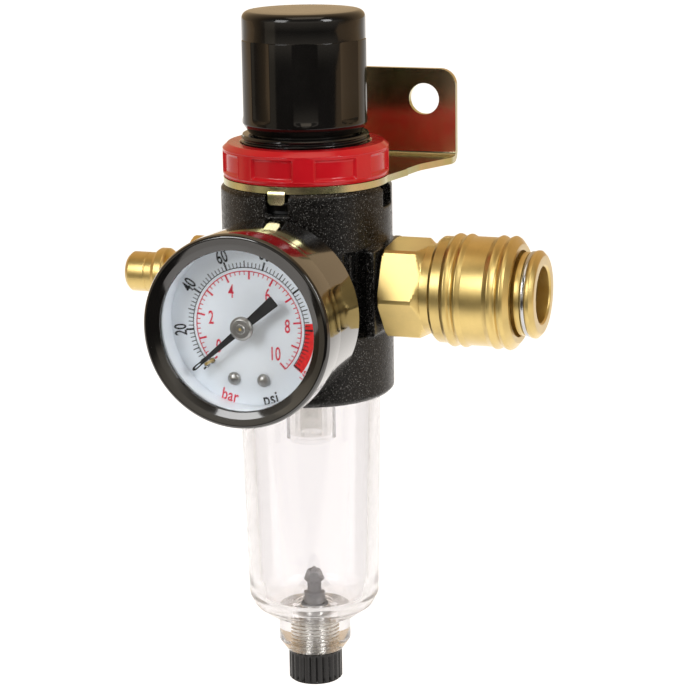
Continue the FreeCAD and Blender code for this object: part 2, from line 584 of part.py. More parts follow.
# ---- pressure gauge ------------------------------------------------------------
gz = gauge_z
rev(
    "gauge_case",
    [
        (5.1, gauge_back), (gauge_rad - 2.2, gauge_back), (gauge_rad - 0.9, gauge_back - 0.8), (gauge_rad - 0.5, gauge_back - 2.0), (gauge_rad - 0.5, -43.0),
        (gauge_rad - 1.5, -43.0), (gauge_rad - 1.5, gauge_back - 1.3), (5.1, gauge_back - 1.3),
    ],
    "Y", z_extra=gz,
)
rev(
    "gauge_bezel",
    [
        (window_rad, gauge_front + 1.6), (window_rad + 0.6, gauge_front + 0.6), (window_rad + 1.6, gauge_front), (gauge_rad - 1.0, gauge_front), (gauge_rad - 0.3, gauge_front + 0.4), (gauge_rad, gauge_front + 1.2),
        (gauge_rad, -38.8), (gauge_rad - 0.45, -38.6), (gauge_rad - 0.45, -43.05), (window_rad + 1.6, -43.05), (window_rad + 1.6, gauge_front + 1.7), (window_rad, gauge_front + 1.7),
    ],
    "Y", z_extra=gz,
)
rev("gauge_window", [(0, gauge_front + 1.75), (window_rad + 1.5, gauge_front + 1.75), (window_rad + 1.5, gauge_front + 3.0), (0, gauge_front + 3.0)], "Y", z_extra=gz)
rev("window_gasket", [(window_rad + 0.3, gauge_front + 3.05), (window_rad + 1.5, gauge_front + 3.05), (window_rad + 1.5, dial_front - 0.05), (window_rad + 0.3, dial_front - 0.05)], "Y", z_extra=gz)
dial = rev("dial_disc", [(0.75, dial_front), (window_rad + 2.0, dial_front), (window_rad + 2.0, dial_front + 0.6), (0.75, dial_front + 0.6)], "Y", keep=True)
dial_holes = fuse("dial_holes", [cyl("dial_hole_a", 0.7, 3, (-3.5, dial_front - 1, -12.4), "Y"), cyl("dial_hole_b", 0.7, 3, (3.5, dial_front - 1, -12.4), "Y"), cyl("dial_hole_c", 0.4, 3, (-8.6, dial_front - 1, -8.51), "Y")])
finish(cut("dial_final", dial, dial_holes), "gauge_dial", gz)
screws = []
for tag, x in (("a", -3.5), ("b", 3.5)):
    screws.append(fuse("dial_screw_" + tag, [
        cyl("head_cyl_" + tag, 1.35, 0.6, (x, dial_front - 0.62, -12.4), "Y"),
        cyl("head_dome_" + tag, 0.95, 0.5, (x, dial_front - 0.9, -12.4), "Y"),
        cyl("shank_" + tag, 0.65, 1.9, (x, dial_front - 0.3, -12.4), "Y"),
    ]))
pair = doc.addObject("Part::Compound", "dial_screw_pair")
pair.Links = screws
finish(pair, "dial_screws", gz)
rev("stop_pin_at_axis", [(0, dial_front - 3.9), (0.36, dial_front - 3.9), (0.36, dial_front + 0.9), (0, dial_front + 0.9)], "Y", keep=True)
pin_body = doc.getObject("stop_pin_at_axis_body")
pin_hold = doc.addObject("Part::MultiFuse", "stop_pin_hold")
pin_body.Placement = FreeCAD.Placement(V(-8.6, 0, -8.51), FreeCAD.Rotation())
pin_foot = cyl("stop_pin_foot", 0.36, 0.5, (-8.6, dial_front + 0.6, -8.51), "Y")
pin_hold.Shapes = [pin_body, pin_foot]
finish(pin_hold, "pointer_stop_pin", gz)

# movement, all positions from the gauge centre
plates = []
for tag, y0 in (("front", -37.4), ("rear", -31.6)):
    plates.append(box("plate_" + tag, (12.6, 0.8, 18.8), (-6.3, y0, -15.0)))
pillars = [cyl("pillar_%d" % k, 1.0, 5.2, (x, -36.7, z), "Y") for k, (x, z) in enumerate(((-4.8, 2.2), (4.8, 2.2), (-4.8, -13.2)))]
plate_holes = [
    cyl("arbor_hole", 0.68, 12, (0, -40, 0), "Y"), cyl("sector_hole", 0.68, 12, (0, -40, -10.5), "Y"),
    cyl("dial_tap_a", 0.62, 2, (-3.5, -38, -12.4), "Y"), cyl("dial_tap_b", 0.62, 2, (3.5, -38, -12.4), "Y"),
]
finish(cut("movement_final", fuse("movement_mass", plates + pillars), fuse("movement_holes", plate_holes)), "movement_frame", gz)
stem = rev("socket_stem", [(1.2, -11.6), (4.8, -11.6), (4.8, -20.65), (6.6, -20.65), (6.6, -23.0), (5.0, -23.0), (5.0, -24.9), (1.2, -24.9)], "Y", keep=True)
socket_block = fuse("socket_block", [
    stem,
    cut("socket_core", box("core_block", (11.0, 6.0, 11.0), (-5.5, -30.75, -5.5)), cyl("core_bore", 1.2, 9, (0, -30.0, 0), "Y")),
    box("socket_arm", (7.0, 6.0, 9.0), (-12.0, -30.75, -12.6)),
    box("tube_anchor", (3.2, 4.2, 4.4), (-11.0, -34.8, -12.4)),
])
finish(socket_block, "gauge_socket", gz)


def arc_bar(r_in, r_out, y0, y1, a0, a1):
    """A ring segment about the gauge axis, angles counted from +X towards +Z."""
    ring_s = Part.makeCylinder(r_out, y1 - y0, V(0, y0, 0), V(0, 1, 0)).cut(Part.makeCylinder(r_in, y1 - y0, V(0, y0, 0), V(0, 1, 0)))
    pts = [V(0, y0 - 1, 0)]
    n = 24
    for i in range(n + 1):
        a = math.radians(a0 + (a1 - a0) * i / n)
        pts.append(V(2 * r_out * math.cos(a), y0 - 1, 2 * r_out * math.sin(a)))
    wedge = Part.Face(Part.makePolygon(pts + [pts[0]])).extrude(V(0, y1 - y0 + 2, 0))
    return ring_s.common(wedge)


tube = arc_bar(12.9, 14.1, -34.6, -31.0, -16.0, 218.0)
feature("bourdon_tube", tube, gz)
tip = Part.makeBox(2.6, 4.4, 3.0, V(12.2, -34.8, -6.6))
feature("tube_tip", tip.cut(tube), gz)


def gear_profile(teeth, first, last, module, root, tipr, half_root, half_pitch, half_tip, phase, r_hub):
    """Trapezoid teeth from index first to last; angles in degrees, a tooth on phase."""
    step = 360.0 / teeth
    pitch = module * teeth / 2
    pts = []
    for k in range(first, last + 1):
        c = phase + k * step
        for r, d in ((root, -half_root), (pitch, -half_pitch), (tipr, -half_tip), (tipr, half_tip), (pitch, half_pitch), (root, half_root)):
            a = math.radians(c + d)
            pts.append(V(r * math.cos(a), 0, r * math.sin(a)))
    return pts


m = get("gear_module")
n_p = int(get("pinion_teeth"))
n_s = int(get("sector_teeth"))
centre = m * (n_p + n_s) / 2
# pinion tooth points down at rest, the sector has a gap there
pts = gear_profile(n_p, 0, n_p - 1, m, 1.28, 2.02, 11.0, 6.6, 3.0, -90.0, 0)
pinion = Part.Face(Part.makePolygon(pts + [pts[0]])).extrude(V(0, 2.0, 0))
pinion.translate(V(0, -35.0, 0))
arbor = Part.makeCylinder(0.62, 12.45, V(0, -43.25, 0), V(0, 1, 0))
feature("pointer_arbor", arbor.fuse(pinion).removeSplitter(), gz)
half = 360.0 / n_s / 2
pts = gear_profile(n_s, -9, 1, m, 8.28, 9.0, 2.35, 1.4, 0.6, 90.0 + half - 0.0, 0)
outer = pts
a_hi = math.radians(90.0 + half + 7.2 + 2.35)
a_lo = math.radians(90.0 + half - 9 * 7.2 - 2.35)
inner = []
for i in range(13):
    a = a_hi + (a_lo - a_hi) * i / 12
    inner.append(V(6.9 * math.cos(a), 0, 6.9 * math.sin(a)))
rim = Part.Face(Part.makePolygon(outer + inner + [outer[0]])).extrude(V(0, 1.2, 0))
rim.translate(V(0, -34.6, 0))
body_s = Part.makeCylinder(1.5, 1.2, V(0, -34.6, 0), V(0, 1, 0))
for ang in (88.0, 38.0):
    arm = Part.makeBox(7.3, 1.2, 1.2, V(0, -34.6, -0.6))
    arm.rotate(V(0, 0, 0), V(0, 1, 0), -ang)
    body_s = body_s.fuse(arm)
tail = Part.makeBox(5.4, 1.2, 1.6, V(0, -34.6, -0.8))
tail.rotate(V(0, 0, 0), V(0, 1, 0), 30.0)
pin_a = math.radians(-30.0)
tail_pin = V(5.0 * math.cos(pin_a), 0, 5.0 * math.sin(pin_a))
sector = body_s.fuse([tail, rim, Part.makeCylinder(0.6, 6.2, V(0, -37.2, 0), V(0, 1, 0)),
                      Part.makeCylinder(0.45, 1.9, V(tail_pin.x, -36.2, tail_pin.z), V(0, 1, 0))]).removeSplitter()
sector.translate(V(0, 0, -centre))
feature("sector_gear", sector, gz)
p0 = V(tail_pin.x, 0, tail_pin.z - centre)
p1 = V(11.3, 0, -5.0)
d = p1.sub(p0)
ang = math.degrees(math.atan2(d.z, d.x))
link = Part.makeBox(d.Length, 0.6, 1.2, V(0, -35.9, -0.6))
link = link.fuse([Part.makeCylinder(1.1, 0.6, V(0, -35.9, 0), V(0, 1, 0)), Part.makeCylinder(1.1, 0.6, V(d.Length, -35.9, 0), V(0, 1, 0))])
link = link.cut(Part.makeCylinder(0.5, 2, V(0, -36.5, 0), V(0, 1, 0)))
link = link.cut(Part.makeCylinder(0.5, 2, V(d.Length, -36.5, 0), V(0, 1, 0)))
link.rotate(V(0, 0, 0), V(0, 1, 0), -ang)
link.translate(p0)
feature("movement_link", link, gz)


def spiral(turns, r0, r1, wire, y0, y1):
    """A flat ribbon wound about the gauge axis."""
    n = int(turns * 24)
    a_pts, b_pts = [], []
    for i in range(n + 1):
        a = 2 * math.pi * turns * i / n
        r = r0 + (r1 - r0) * i / n
        a_pts.append(V((r - wire) * math.cos(a), y0, (r - wire) * math.sin(a)))
        b_pts.append(V((r + wire) * math.cos(a), y0, (r + wire) * math.sin(a)))
    loop = a_pts + b_pts[::-1]
    return Part.Face(Part.makePolygon(loop + [loop[0]])).extrude(V(0, y1 - y0, 0))


feature("hairspring", spiral(4.0, 0.76, 3.4, 0.08, -36.4, -35.4), gz)
# pointer at rest beside its stop pin, with a balancing tail
blade = Part.Face(Part.makePolygon([V(1.6, 0, 0.62), V(13.6, 0, 0.4), V(15.4, 0, 0.4), V(15.8, 0, 0.0), V(15.4, 0, -0.4), V(13.6, 0, -0.4), V(1.6, 0, -0.62), V(1.6, 0, 0.62)])).extrude(V(0, 0.35, 0))
rear = Part.Face(Part.makePolygon([V(-1.6, 0, 0.75), V(-10.2, 0, 1.35), V(-10.2, 0, -1.35), V(-1.6, 0, -0.75), V(-1.6, 0, 0.75)])).extrude(V(0, 0.35, 0))
disc = Part.makeCylinder(2.7, 1.4, V(0, -0.8, 0), V(0, 1, 0))
mid = Part.makeBox(4.0, 0.35, 1.24, V(-2.0, 0, -0.62))
needle = disc.fuse([mid, blade, rear]).cut(Part.makeCylinder(0.62, 3, V(0, -1.5, 0), V(0, 1, 0)))
needle.rotate(V(0, 0, 0), V(0, 1, 0), 360.0 - 220.5)
needle.translate(V(0, -42.3, 0))
feature("pointer", needle, gz)

# ---- checks and export ------------------------------------------------------------
doc.recompute()
bad = [o.Name for o in doc.Objects if any(s in o.State for s in ("Invalid", "Error"))]
for p in parts:
    if p.Shape.isNull() or not p.Shape.isValid() or p.Shape.Volume <= 0:
        bad.append("shape of " + p.Label)
if bad:
    raise SystemExit("failed: " + ", ".join(bad))
os.makedirs("parts", exist_ok=True)
for old in os.listdir("parts"):
    if old.endswith(".step"):
        os.remove(os.path.join("parts", old))
for p in parts:
    p.Shape.exportStep("parts/" + p.Label + ".step")
    bb = p.Shape.BoundBox
    print("%-22s solids %d volume %8.1f x %.1f..%.1f y %.1f..%.1f z %.1f..%.1f" % (p.Label, len(p.Shape.Solids), p.Shape.Volume, bb.XMin, bb.XMax, bb.YMin, bb.YMax, bb.ZMin, bb.ZMax))
print(len(parts), "sub-parts")
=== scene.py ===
import json
import math

import bmesh
import bpy
import numpy as np
from mathutils import Matrix, Vector

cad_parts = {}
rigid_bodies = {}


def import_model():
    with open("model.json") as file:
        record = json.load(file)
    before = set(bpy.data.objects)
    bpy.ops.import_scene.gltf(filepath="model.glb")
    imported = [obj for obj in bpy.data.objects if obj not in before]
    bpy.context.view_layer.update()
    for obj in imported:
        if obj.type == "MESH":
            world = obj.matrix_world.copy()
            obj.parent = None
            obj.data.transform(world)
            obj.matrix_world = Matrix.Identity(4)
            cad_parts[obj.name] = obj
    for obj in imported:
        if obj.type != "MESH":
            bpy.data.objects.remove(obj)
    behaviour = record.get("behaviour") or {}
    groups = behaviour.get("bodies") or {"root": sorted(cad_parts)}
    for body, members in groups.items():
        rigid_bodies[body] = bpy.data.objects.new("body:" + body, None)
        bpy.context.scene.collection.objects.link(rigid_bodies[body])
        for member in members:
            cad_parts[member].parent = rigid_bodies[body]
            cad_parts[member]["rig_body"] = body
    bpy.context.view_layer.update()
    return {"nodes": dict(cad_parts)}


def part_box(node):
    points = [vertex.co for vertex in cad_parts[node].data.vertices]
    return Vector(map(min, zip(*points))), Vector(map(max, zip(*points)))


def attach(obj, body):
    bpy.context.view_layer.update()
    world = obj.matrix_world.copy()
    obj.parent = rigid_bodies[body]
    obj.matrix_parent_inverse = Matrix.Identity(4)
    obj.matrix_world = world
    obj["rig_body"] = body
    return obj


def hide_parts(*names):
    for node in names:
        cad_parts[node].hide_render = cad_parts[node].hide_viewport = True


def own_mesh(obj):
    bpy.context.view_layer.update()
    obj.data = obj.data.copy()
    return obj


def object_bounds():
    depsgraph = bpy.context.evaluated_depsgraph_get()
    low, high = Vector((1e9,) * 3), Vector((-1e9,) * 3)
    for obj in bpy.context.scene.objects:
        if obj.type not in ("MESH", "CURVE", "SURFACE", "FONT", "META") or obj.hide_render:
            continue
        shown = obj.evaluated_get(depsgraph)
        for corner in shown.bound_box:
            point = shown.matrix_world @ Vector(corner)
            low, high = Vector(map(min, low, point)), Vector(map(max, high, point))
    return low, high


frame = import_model()
nodes = frame["nodes"]

MM = 0.001
# the turned axis of the regulator and the height of its ports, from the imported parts
_kl, _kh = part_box("knob")
_sl, _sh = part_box("coupler_sleeve")
OX = round((_kl.x + _kh.x) / 2 / MM, 2) * MM
OY = round((_kl.y + _kh.y) / 2 / MM, 2) * MM
OZ = round((_sl.z + _sh.z) / 2 / MM, 2) * MM
OFF = np.array([OX, OY, OZ])


def row(co):
    return np.asarray(co, float) * MM + OFF


# ---------------------------------------------------------------- materials
class Mat:
    def __init__(self, name):
        self.m = bpy.data.materials.new(name)
        self.m.use_nodes = True
        self.t = self.m.node_tree
        self.t.nodes.clear()
        self.out = self.node("ShaderNodeOutputMaterial")
        self.tc = self.node("ShaderNodeTexCoord")

    def node(self, kind, **props):
        n = self.t.nodes.new(kind)
        for k, v in props.items():
            setattr(n, k, v)
        return n

    def link(self, a, b):
        self.t.links.new(a, b)

    def coords(self, scale=(1, 1, 1), loc=(0, 0, 0), rot=(0, 0, 0)):
        mp = self.node("ShaderNodeMapping")
        mp.inputs["Scale"].default_value = scale
        mp.inputs["Location"].default_value = loc
        mp.inputs["Rotation"].default_value = rot
        self.link(self.tc.outputs["Object"], mp.inputs["Vector"])
        return mp.outputs["Vector"]

    def noise(self, scale, detail=3.0, rough=0.55, stretch=(1, 1, 1), distort=0.0, loc=(0, 0, 0)):
        n = self.node("ShaderNodeTexNoise")
        n.inputs["Scale"].default_value = scale
        n.inputs["Detail"].default_value = detail
        n.inputs["Roughness"].default_value = rough
        n.inputs["Distortion"].default_value = distort
        self.link(self.coords(stretch, loc), n.inputs["Vector"])
        return n.outputs["Fac"]

    def cells(self, scale, feature="F1", stretch=(1, 1, 1), out="Distance"):
        n = self.node("ShaderNodeTexVoronoi", feature=feature)
        n.inputs["Scale"].default_value = scale
        self.link(self.coords(stretch), n.inputs["Vector"])
        return n.outputs[out]

    def ramp(self, fac, stops, interp="LINEAR"):
        r = self.node("ShaderNodeValToRGB")
        r.color_ramp.interpolation = interp
        e = r.color_ramp.elements
        while len(e) < len(stops):
            e.new(0.5)
        for el, (p, c) in zip(e, stops):
            el.position = p
            el.color = (*c, 1) if len(c) == 3 else c
        self.link(fac, r.inputs["Fac"])
        return r.outputs["Color"]

    def remap(self, fac, a, b, lo=0.0, hi=1.0):
        r = self.node("ShaderNodeMapRange")
        r.inputs["From Min"].default_value = lo
        r.inputs["From Max"].default_value = hi
        r.inputs["To Min"].default_value = a
        r.inputs["To Max"].default_value = b
        self.link(fac, r.inputs["Value"])
        return r.outputs["Result"]

    def mix(self, fac, a, b):
        n = self.node("ShaderNodeMix", data_type="RGBA")
        for s, v in ((n.inputs[0], fac), (n.inputs[6], a), (n.inputs[7], b)):
            if isinstance(v, (int, float)):
                s.default_value = v
            elif isinstance(v, tuple):
                s.default_value = (*v, 1)
            else:
                self.link(v, s)
        return n.outputs[2]

    def bump(self, height, dist, strength=1.0, normal=None):
        b = self.node("ShaderNodeBump")
        b.inputs["Strength"].default_value = strength
        b.inputs["Distance"].default_value = dist
        self.link(height, b.inputs["Height"])
        if normal is not None:
            self.link(normal, b.inputs["Normal"])
        return b.outputs["Normal"]

    def bsdf(self, color, rough, metallic=0.0, normal=None, **const):
        b = self.node("ShaderNodeBsdfPrincipled")
        for key, v in (("Base Color", color), ("Roughness", rough)):
            s = b.inputs[key]
            if isinstance(v, (int, float)):
                s.default_value = v
            elif isinstance(v, tuple):
                s.default_value = (*v, 1)
            else:
                self.link(v, s)
        b.inputs["Metallic"].default_value = metallic
        if normal is not None:
            self.link(normal, b.inputs["Normal"])
        for k, v in const.items():
            b.inputs[k.replace("_", " ")].default_value = v
        self.link(b.outputs["BSDF"], self.out.inputs["Surface"])
        return b


def plastic(name, color, rough, grain=2200.0, depth=6e-6, shade=0.35, coat=0.0, coat_rough=0.08):
    """Moulded plastic: fine grain, faint flow clouds and handling marks."""
    m = Mat(name)
    cloud = m.noise(90.0, 4.0, 0.6)
    fine = m.noise(grain, 3.0, 0.6)
    dark = tuple(c * (1 - shade) for c in color)
    light = tuple(min(1.0, c * (1 + shade) + 0.0015) for c in color)
    col = m.ramp(cloud, [(0.3, dark), (0.7, light)])
    rub = m.noise(420.0, 5.0, 0.65, stretch=(1, 1, 0.35))
    r = m.remap(rub, rough * 0.75, rough * 1.35, 0.3, 0.7)
    n = m.bump(fine, depth, 0.6)
    m.bsdf(col, r, 0.0, n, Coat_Weight=coat, Coat_Roughness=coat_rough, IOR=1.5)
    return m.m


def metal(name, color, rough, tint=0.12, marks=(1, 1, 1), mark_scale=60.0, depth=3e-6, stain=None, spread=0.35):
    """Machined metal: tool marks, cloudy tarnish and worn gloss."""
    m = Mat(name)
    cloud = m.noise(120.0, 5.0, 0.6)
    fleck = m.noise(1500.0, 2.0, 0.5)
    a = tuple(max(0.0, c * (1 - tint)) for c in color)
    b = tuple(min(1.0, c * (1 + tint * 0.6)) for c in color)
    col = m.ramp(cloud, [(0.28, a), (0.5, color), (0.72, b)])
    if stain:
        col = m.mix(m.remap(m.noise(260.0, 4.0, 0.7, distort=0.6), 0.0, 0.55, 0.52, 0.75), col, stain)
    marks_n = m.noise(mark_scale, 4.0, 0.75, stretch=marks)
    r = m.remap(fleck, rough * (1 - spread), rough * (1 + spread), 0.3, 0.7)
    n = m.bump(marks_n, depth, 0.8)
    n = m.bump(fleck, depth * 0.6, 0.4, n)
    m.bsdf(col, r, 1.0, n)
    return m.m


def cast_paint(name):
    """Charcoal stove enamel on a die casting: pebbled, with pale metallic flecks."""
    m = Mat(name)
    pebble = m.noise(1250.0, 4.0, 0.62)
    fine = m.noise(3600.0, 2.0, 0.5)
    spark = m.noise(4300.0, 1.0, 0.4, loc=(3.1, 1.7, 0.4))
    spark_b = m.cells(2300.0)
    cloud = m.noise(75.0, 3.0, 0.6)
    base = m.ramp(cloud, [(0.3, (0.0016, 0.0015, 0.0014)), (0.7, (0.0032, 0.0029, 0.0027))])
    flecks = m.ramp(spark, [(0.64, (0, 0, 0)), (0.72, (1, 1, 1))])
    few = m.ramp(spark_b, [(0.10, (1, 1, 1)), (0.20, (0, 0, 0))])
    col = m.mix(flecks, base, (0.26, 0.26, 0.255))
    col = m.mix(m.remap(few, 0.0, 0.40), col, (0.26, 0.26, 0.255))
    r = m.remap(pebble, 0.20, 0.42, 0.35, 0.65)
    n = m.bump(pebble, 7.0e-5, 0.75)
    n = m.bump(fine, 1.6e-5, 0.7, n)
    m.bsdf(col, r, 0.0, n, IOR=1.38)
    return m.m


def zinc(name):
    """Yellow passivated zinc on cold-rolled sheet: greenish gold with faint rainbow drift."""
    m = Mat(name)
    drift = m.noise(48.0, 3.0, 0.55, distort=0.8)
    col = m.ramp(drift, [
        (0.25, (0.54, 0.51, 0.25)), (0.42, (0.63, 0.61, 0.33)), (0.52, (0.70, 0.60, 0.38)), (0.62, (0.60, 0.63, 0.36)), (0.78, (0.67, 0.56, 0.31)),
    ])
    mottle = m.noise(900.0, 4.0, 0.7)
    col = m.mix(m.remap(mottle, 0.0, 0.10, 0.42, 0.72), col, (0.40, 0.37, 0.20))
    grain = m.noise(55.0, 4.0, 0.7, stretch=(1, 14, 14))
    r = m.remap(mottle, 0.19, 0.26, 0.3, 0.7)
    n = m.bump(grain, 3e-6, 0.5)
    n = m.bump(mottle, 7e-7, 0.6, n)
    m.bsdf(col, r, 1.0, n)
    return m.m


def brass_mat(name, marks, color=(0.78, 0.58, 0.20)):
    m = Mat(name)
    cloud = m.noise(150.0, 5.0, 0.6)
    a = tuple(c * 0.88 for c in color)
    b = (min(1, color[0] * 1.07), min(1, color[1] * 1.08), color[2] * 1.15)
    col = m.ramp(cloud, [(0.3, a), (0.55, color), (0.75, b)])
    lines = m.noise(1.0, 5.0, 0.8, stretch=marks)
    fine = m.noise(2400.0, 2.0, 0.5)
    col = m.mix(m.remap(lines, 0.0, 0.10, 0.5, 0.8), col, (0.60, 0.40, 0.13))
    r = m.remap(cloud, 0.345, 0.375, 0.3, 0.7)
    n = m.bump(lines, 5e-7, 0.7)
    n = m.bump(fine, 2e-7, 0.5, n)
    m.bsdf(col, r, 1.0, n, Coat_Weight=0.9, Coat_Roughness=0.32, Coat_IOR=1.5)
    return m.m


def enamel(name):
    """Gloss black stove enamel on pressed steel, with a trace of orange peel."""
    m = Mat(name)
    peel = m.noise(520.0, 2.0, 0.5)
    dust = m.noise(2600.0, 2.0, 0.5)
    cloud = m.noise(60.0, 3.0, 0.5)
    col = m.ramp(cloud, [(0.3, (0.0045, 0.0042, 0.0040)), (0.7, (0.0085, 0.0078, 0.0070))])
    r = m.remap(dust, 0.06, 0.11, 0.3, 0.7)
    n = m.bump(peel, 5e-6, 0.45)
    m.bsdf(col, r, 0.0, n, Coat_Weight=1.0, Coat_Roughness=0.07, Coat_IOR=1.6, IOR=1.55)
    return m.m


def see_through(name, tint, rough, ior, haze=1500.0, clear=0.0):
    """Clear moulding: faint haze and flow ripples; lamps pass through it."""
    m = Mat(name)
    ripple = m.noise(160.0, 3.0, 0.5, stretch=(1, 1, 0.3))
    speck = m.noise(haze, 3.0, 0.6)
    a = tuple(c * 0.985 for c in tint)
    col = m.ramp(ripple, [(0.3, a), (0.7, tint)])
    r = m.remap(speck, rough * 0.4, rough * 1.5, 0.35, 0.7)
    n = m.bump(ripple, 1.2e-5, 0.5)
    b = m.node("ShaderNodeBsdfPrincipled")
    m.link(col, b.inputs["Base Color"])
    m.link(r, b.inputs["Roughness"])
    m.link(n, b.inputs["Normal"])
    b.inputs["IOR"].default_value = ior
    b.inputs["Transmission Weight"].default_value = 1.0
    t = m.node("ShaderNodeBsdfTransparent")
    m.link(col, t.inputs["Color"])
    lp = m.node("ShaderNodeLightPath")
    mixer = m.node("ShaderNodeMixShader")
    m.link(lp.outputs["Is Shadow Ray"], mixer.inputs[0])
    m.link(b.outputs["BSDF"], mixer.inputs[1])
    m.link(t.outputs["BSDF"], mixer.inputs[2])
    last = mixer
    if clear > 0:
        t2 = m.node("ShaderNodeBsdfTransparent")
        m.link(col, t2.inputs["Color"])
        mix2 = m.node("ShaderNodeMixShader")
        mix2.inputs[0].default_value = clear
        m.link(mixer.outputs[0], mix2.inputs[1])
        m.link(t2.outputs["BSDF"], mix2.inputs[2])
        last = mix2
    m.link(last.outputs[0], m.out.inputs["Surface"])
    return m.m


def printed(name, color):
    """Screen-printed ink: matt, slightly uneven coverage."""
    m = Mat(name)
    ink = m.noise(1800.0, 3.0, 0.6)
    a = tuple(c * 0.85 for c in color)
    b = tuple(min(1.0, c * 1.1 + 0.003) for c in color)
    col = m.ramp(ink, [(0.35, a), (0.65, b)])
    m.bsdf(col, m.remap(ink, 0.4, 0.6, 0.3, 0.7), 0.0, m.bump(ink, 2e-6, 0.4))
    return m.m


def dial_face(name):
    m = Mat(name)
    cloud = m.noise(110.0, 3.0, 0.5)
    grit = m.noise(2600.0, 2.0, 0.5)
    col = m.ramp(cloud, [(0.3, (0.74, 0.79, 0.85)), (0.7, (0.79, 0.835, 0.885))])
    m.bsdf(col, m.remap(grit, 0.32, 0.46, 0.3, 0.7), 0.0, m.bump(grit, 2e-6, 0.4))
    return m.m


def sintered(name):
    m = Mat(name)
    ball = m.cells(2600.0)
    cloud = m.noise(300.0, 4.0, 0.6)
    col = m.ramp(cloud, [(0.3, (0.70, 0.67, 0.60)), (0.7, (0.88, 0.86, 0.80))])
    b = m.bsdf(col, m.remap(ball, 0.55, 0.85, 0.1, 0.6), 0.0, m.bump(ball, 8e-5, 0.8), Subsurface_Weight=0.15, Subsurface_Scale=0.0008)
    t = m.node("ShaderNodeBsdfTransparent")
    m.link(m.ramp(cloud, [(0.3, (0.985, 0.980, 0.965)), (0.7, (0.998, 0.994, 0.985))]), t.inputs["Color"])
    mx = m.node("ShaderNodeMixShader")
    mx.inputs[0].default_value = 0.93
    m.link(b.outputs["BSDF"], mx.inputs[1])
    m.link(t.outputs["BSDF"], mx.inputs[2])
    m.link(mx.outputs[0], m.out.inputs["Surface"])
    return m.m


M = {
    "body_paint": cast_paint("body_paint"),
    "black_plastic": plastic("black_plastic", (0.0075, 0.0072, 0.0078), 0.26, coat=0.0),
    "knob_plastic": plastic("knob_plastic", (0.0050, 0.0046, 0.0044), 0.105, grain=2600.0, depth=6e-6, shade=0.25),
    "thread_plastic": plastic("thread_plastic", (0.0050, 0.0052, 0.0055), 0.14, grain=1800.0, depth=5e-6),
    "red_plastic": plastic("red_plastic", (0.66, 0.0085, 0.0180), 0.17, grain=1700.0, depth=5e-6, shade=0.05),
    "zinc_plated_steel": zinc("zinc_plated_steel"),
    "brass": brass_mat("brass", (2500, 60, 60)),
    "brass_y": brass_mat("brass_y", (60, 2500, 60)),
    "brass_z": brass_mat("brass_z", (60, 60, 2500)),
    "phosphor_bronze": metal("phosphor_bronze", (0.72, 0.42, 0.22), 0.28, marks=(1, 12, 1)),
    "nickel_plated_brass": metal("nickel_plated_brass", (0.72, 0.71, 0.68), 0.22, tint=0.08, marks=(1, 1, 30)),
    "steel": metal("steel", (0.62, 0.63, 0.64), 0.20, tint=0.10, marks=(8, 8, 1)),
    "satin_steel": metal("satin_steel", (0.42, 0.415, 0.40), 0.34, tint=0.08, marks=(1, 1, 1), depth=1e-6, spread=0.12),
    "spring_steel": metal("spring_steel", (0.50, 0.51, 0.53), 0.30, tint=0.15, marks=(3, 3, 14), stain=(0.30, 0.27, 0.22)),
    "rubber": plastic("rubber", (0.012, 0.012, 0.0125), 0.62, grain=1400.0, depth=2e-5, shade=0.3),
    "plate_aluminium": metal("plate_aluminium", (0.76, 0.77, 0.78), 0.34, tint=0.06, marks=(1, 9, 9)),
    "filter_media": sintered("filter_media"),
    "clear_bowl": see_through("clear_bowl", (0.944, 0.940, 0.957), 0.015, 1.47, clear=0.12),
    "clear_cup": see_through("clear_cup", (0.996, 0.996, 0.996), 0.05, 1.16, clear=0.93),
    # grey see-through shade for the strips on the cup's left and right outline as the camera sees it: painted dark edge
    # lines
    "grey_edge_shade": see_through("grey_edge_shade", (0.62, 0.62, 0.63), 0.10, 1.06, clear=0.5),
    "clear_plastic": see_through("clear_plastic", (0.97, 0.98, 0.985), 0.10, 1.40, clear=0.35),
    "grey_plastic": plastic("grey_plastic", (0.145, 0.138, 0.138), 0.40, shade=0.15),
    "gauge_enamel": enamel("gauge_enamel"),
    "gauge_glass": see_through("gauge_glass", (0.985, 0.992, 0.998), 0.006, 1.035, haze=2500.0, clear=0.5),
    "dial_white": dial_face("dial_white"),
    "pointer_black": plastic("pointer_black", (0.010, 0.010, 0.011), 0.42, depth=3e-6),
    "ink_black": printed("ink_black", (0.012, 0.013, 0.016)),
    "ink_red": printed("ink_red", (0.66, 0.022, 0.055)),
    "ink_band": printed("ink_band", (0.80, 0.012, 0.012)),
}


# ---------------------------------------------------------------- mesh helpers
def make(name, verts, faces, mat, body, replaces=(), sharp=32.0, smooth=True, merge=None):
    bm = bmesh.new()
    vs = [bm.verts.new(v) for v in row(verts)]
    bm.verts.ensure_lookup_table()
    for f in faces:
        ids = []
        for i in f:
            if i not in ids:
                ids.append(i)
        if len(ids) > 2:
            try:
                bm.faces.new([vs[i] for i in ids])
            except ValueError:
                pass
    if merge:
        bmesh.ops.remove_doubles(bm, verts=bm.verts, dist=merge * MM)
    loose = [v for v in bm.verts if not v.link_faces]
    if loose:
        bmesh.ops.delete(bm, geom=loose, context="VERTS")
    bmesh.ops.recalc_face_normals(bm, faces=bm.faces)
    me = bpy.data.meshes.new(name)
    bm.to_mesh(me)
    bm.free()
    return place(name, me, mat, body, replaces, sharp, smooth)


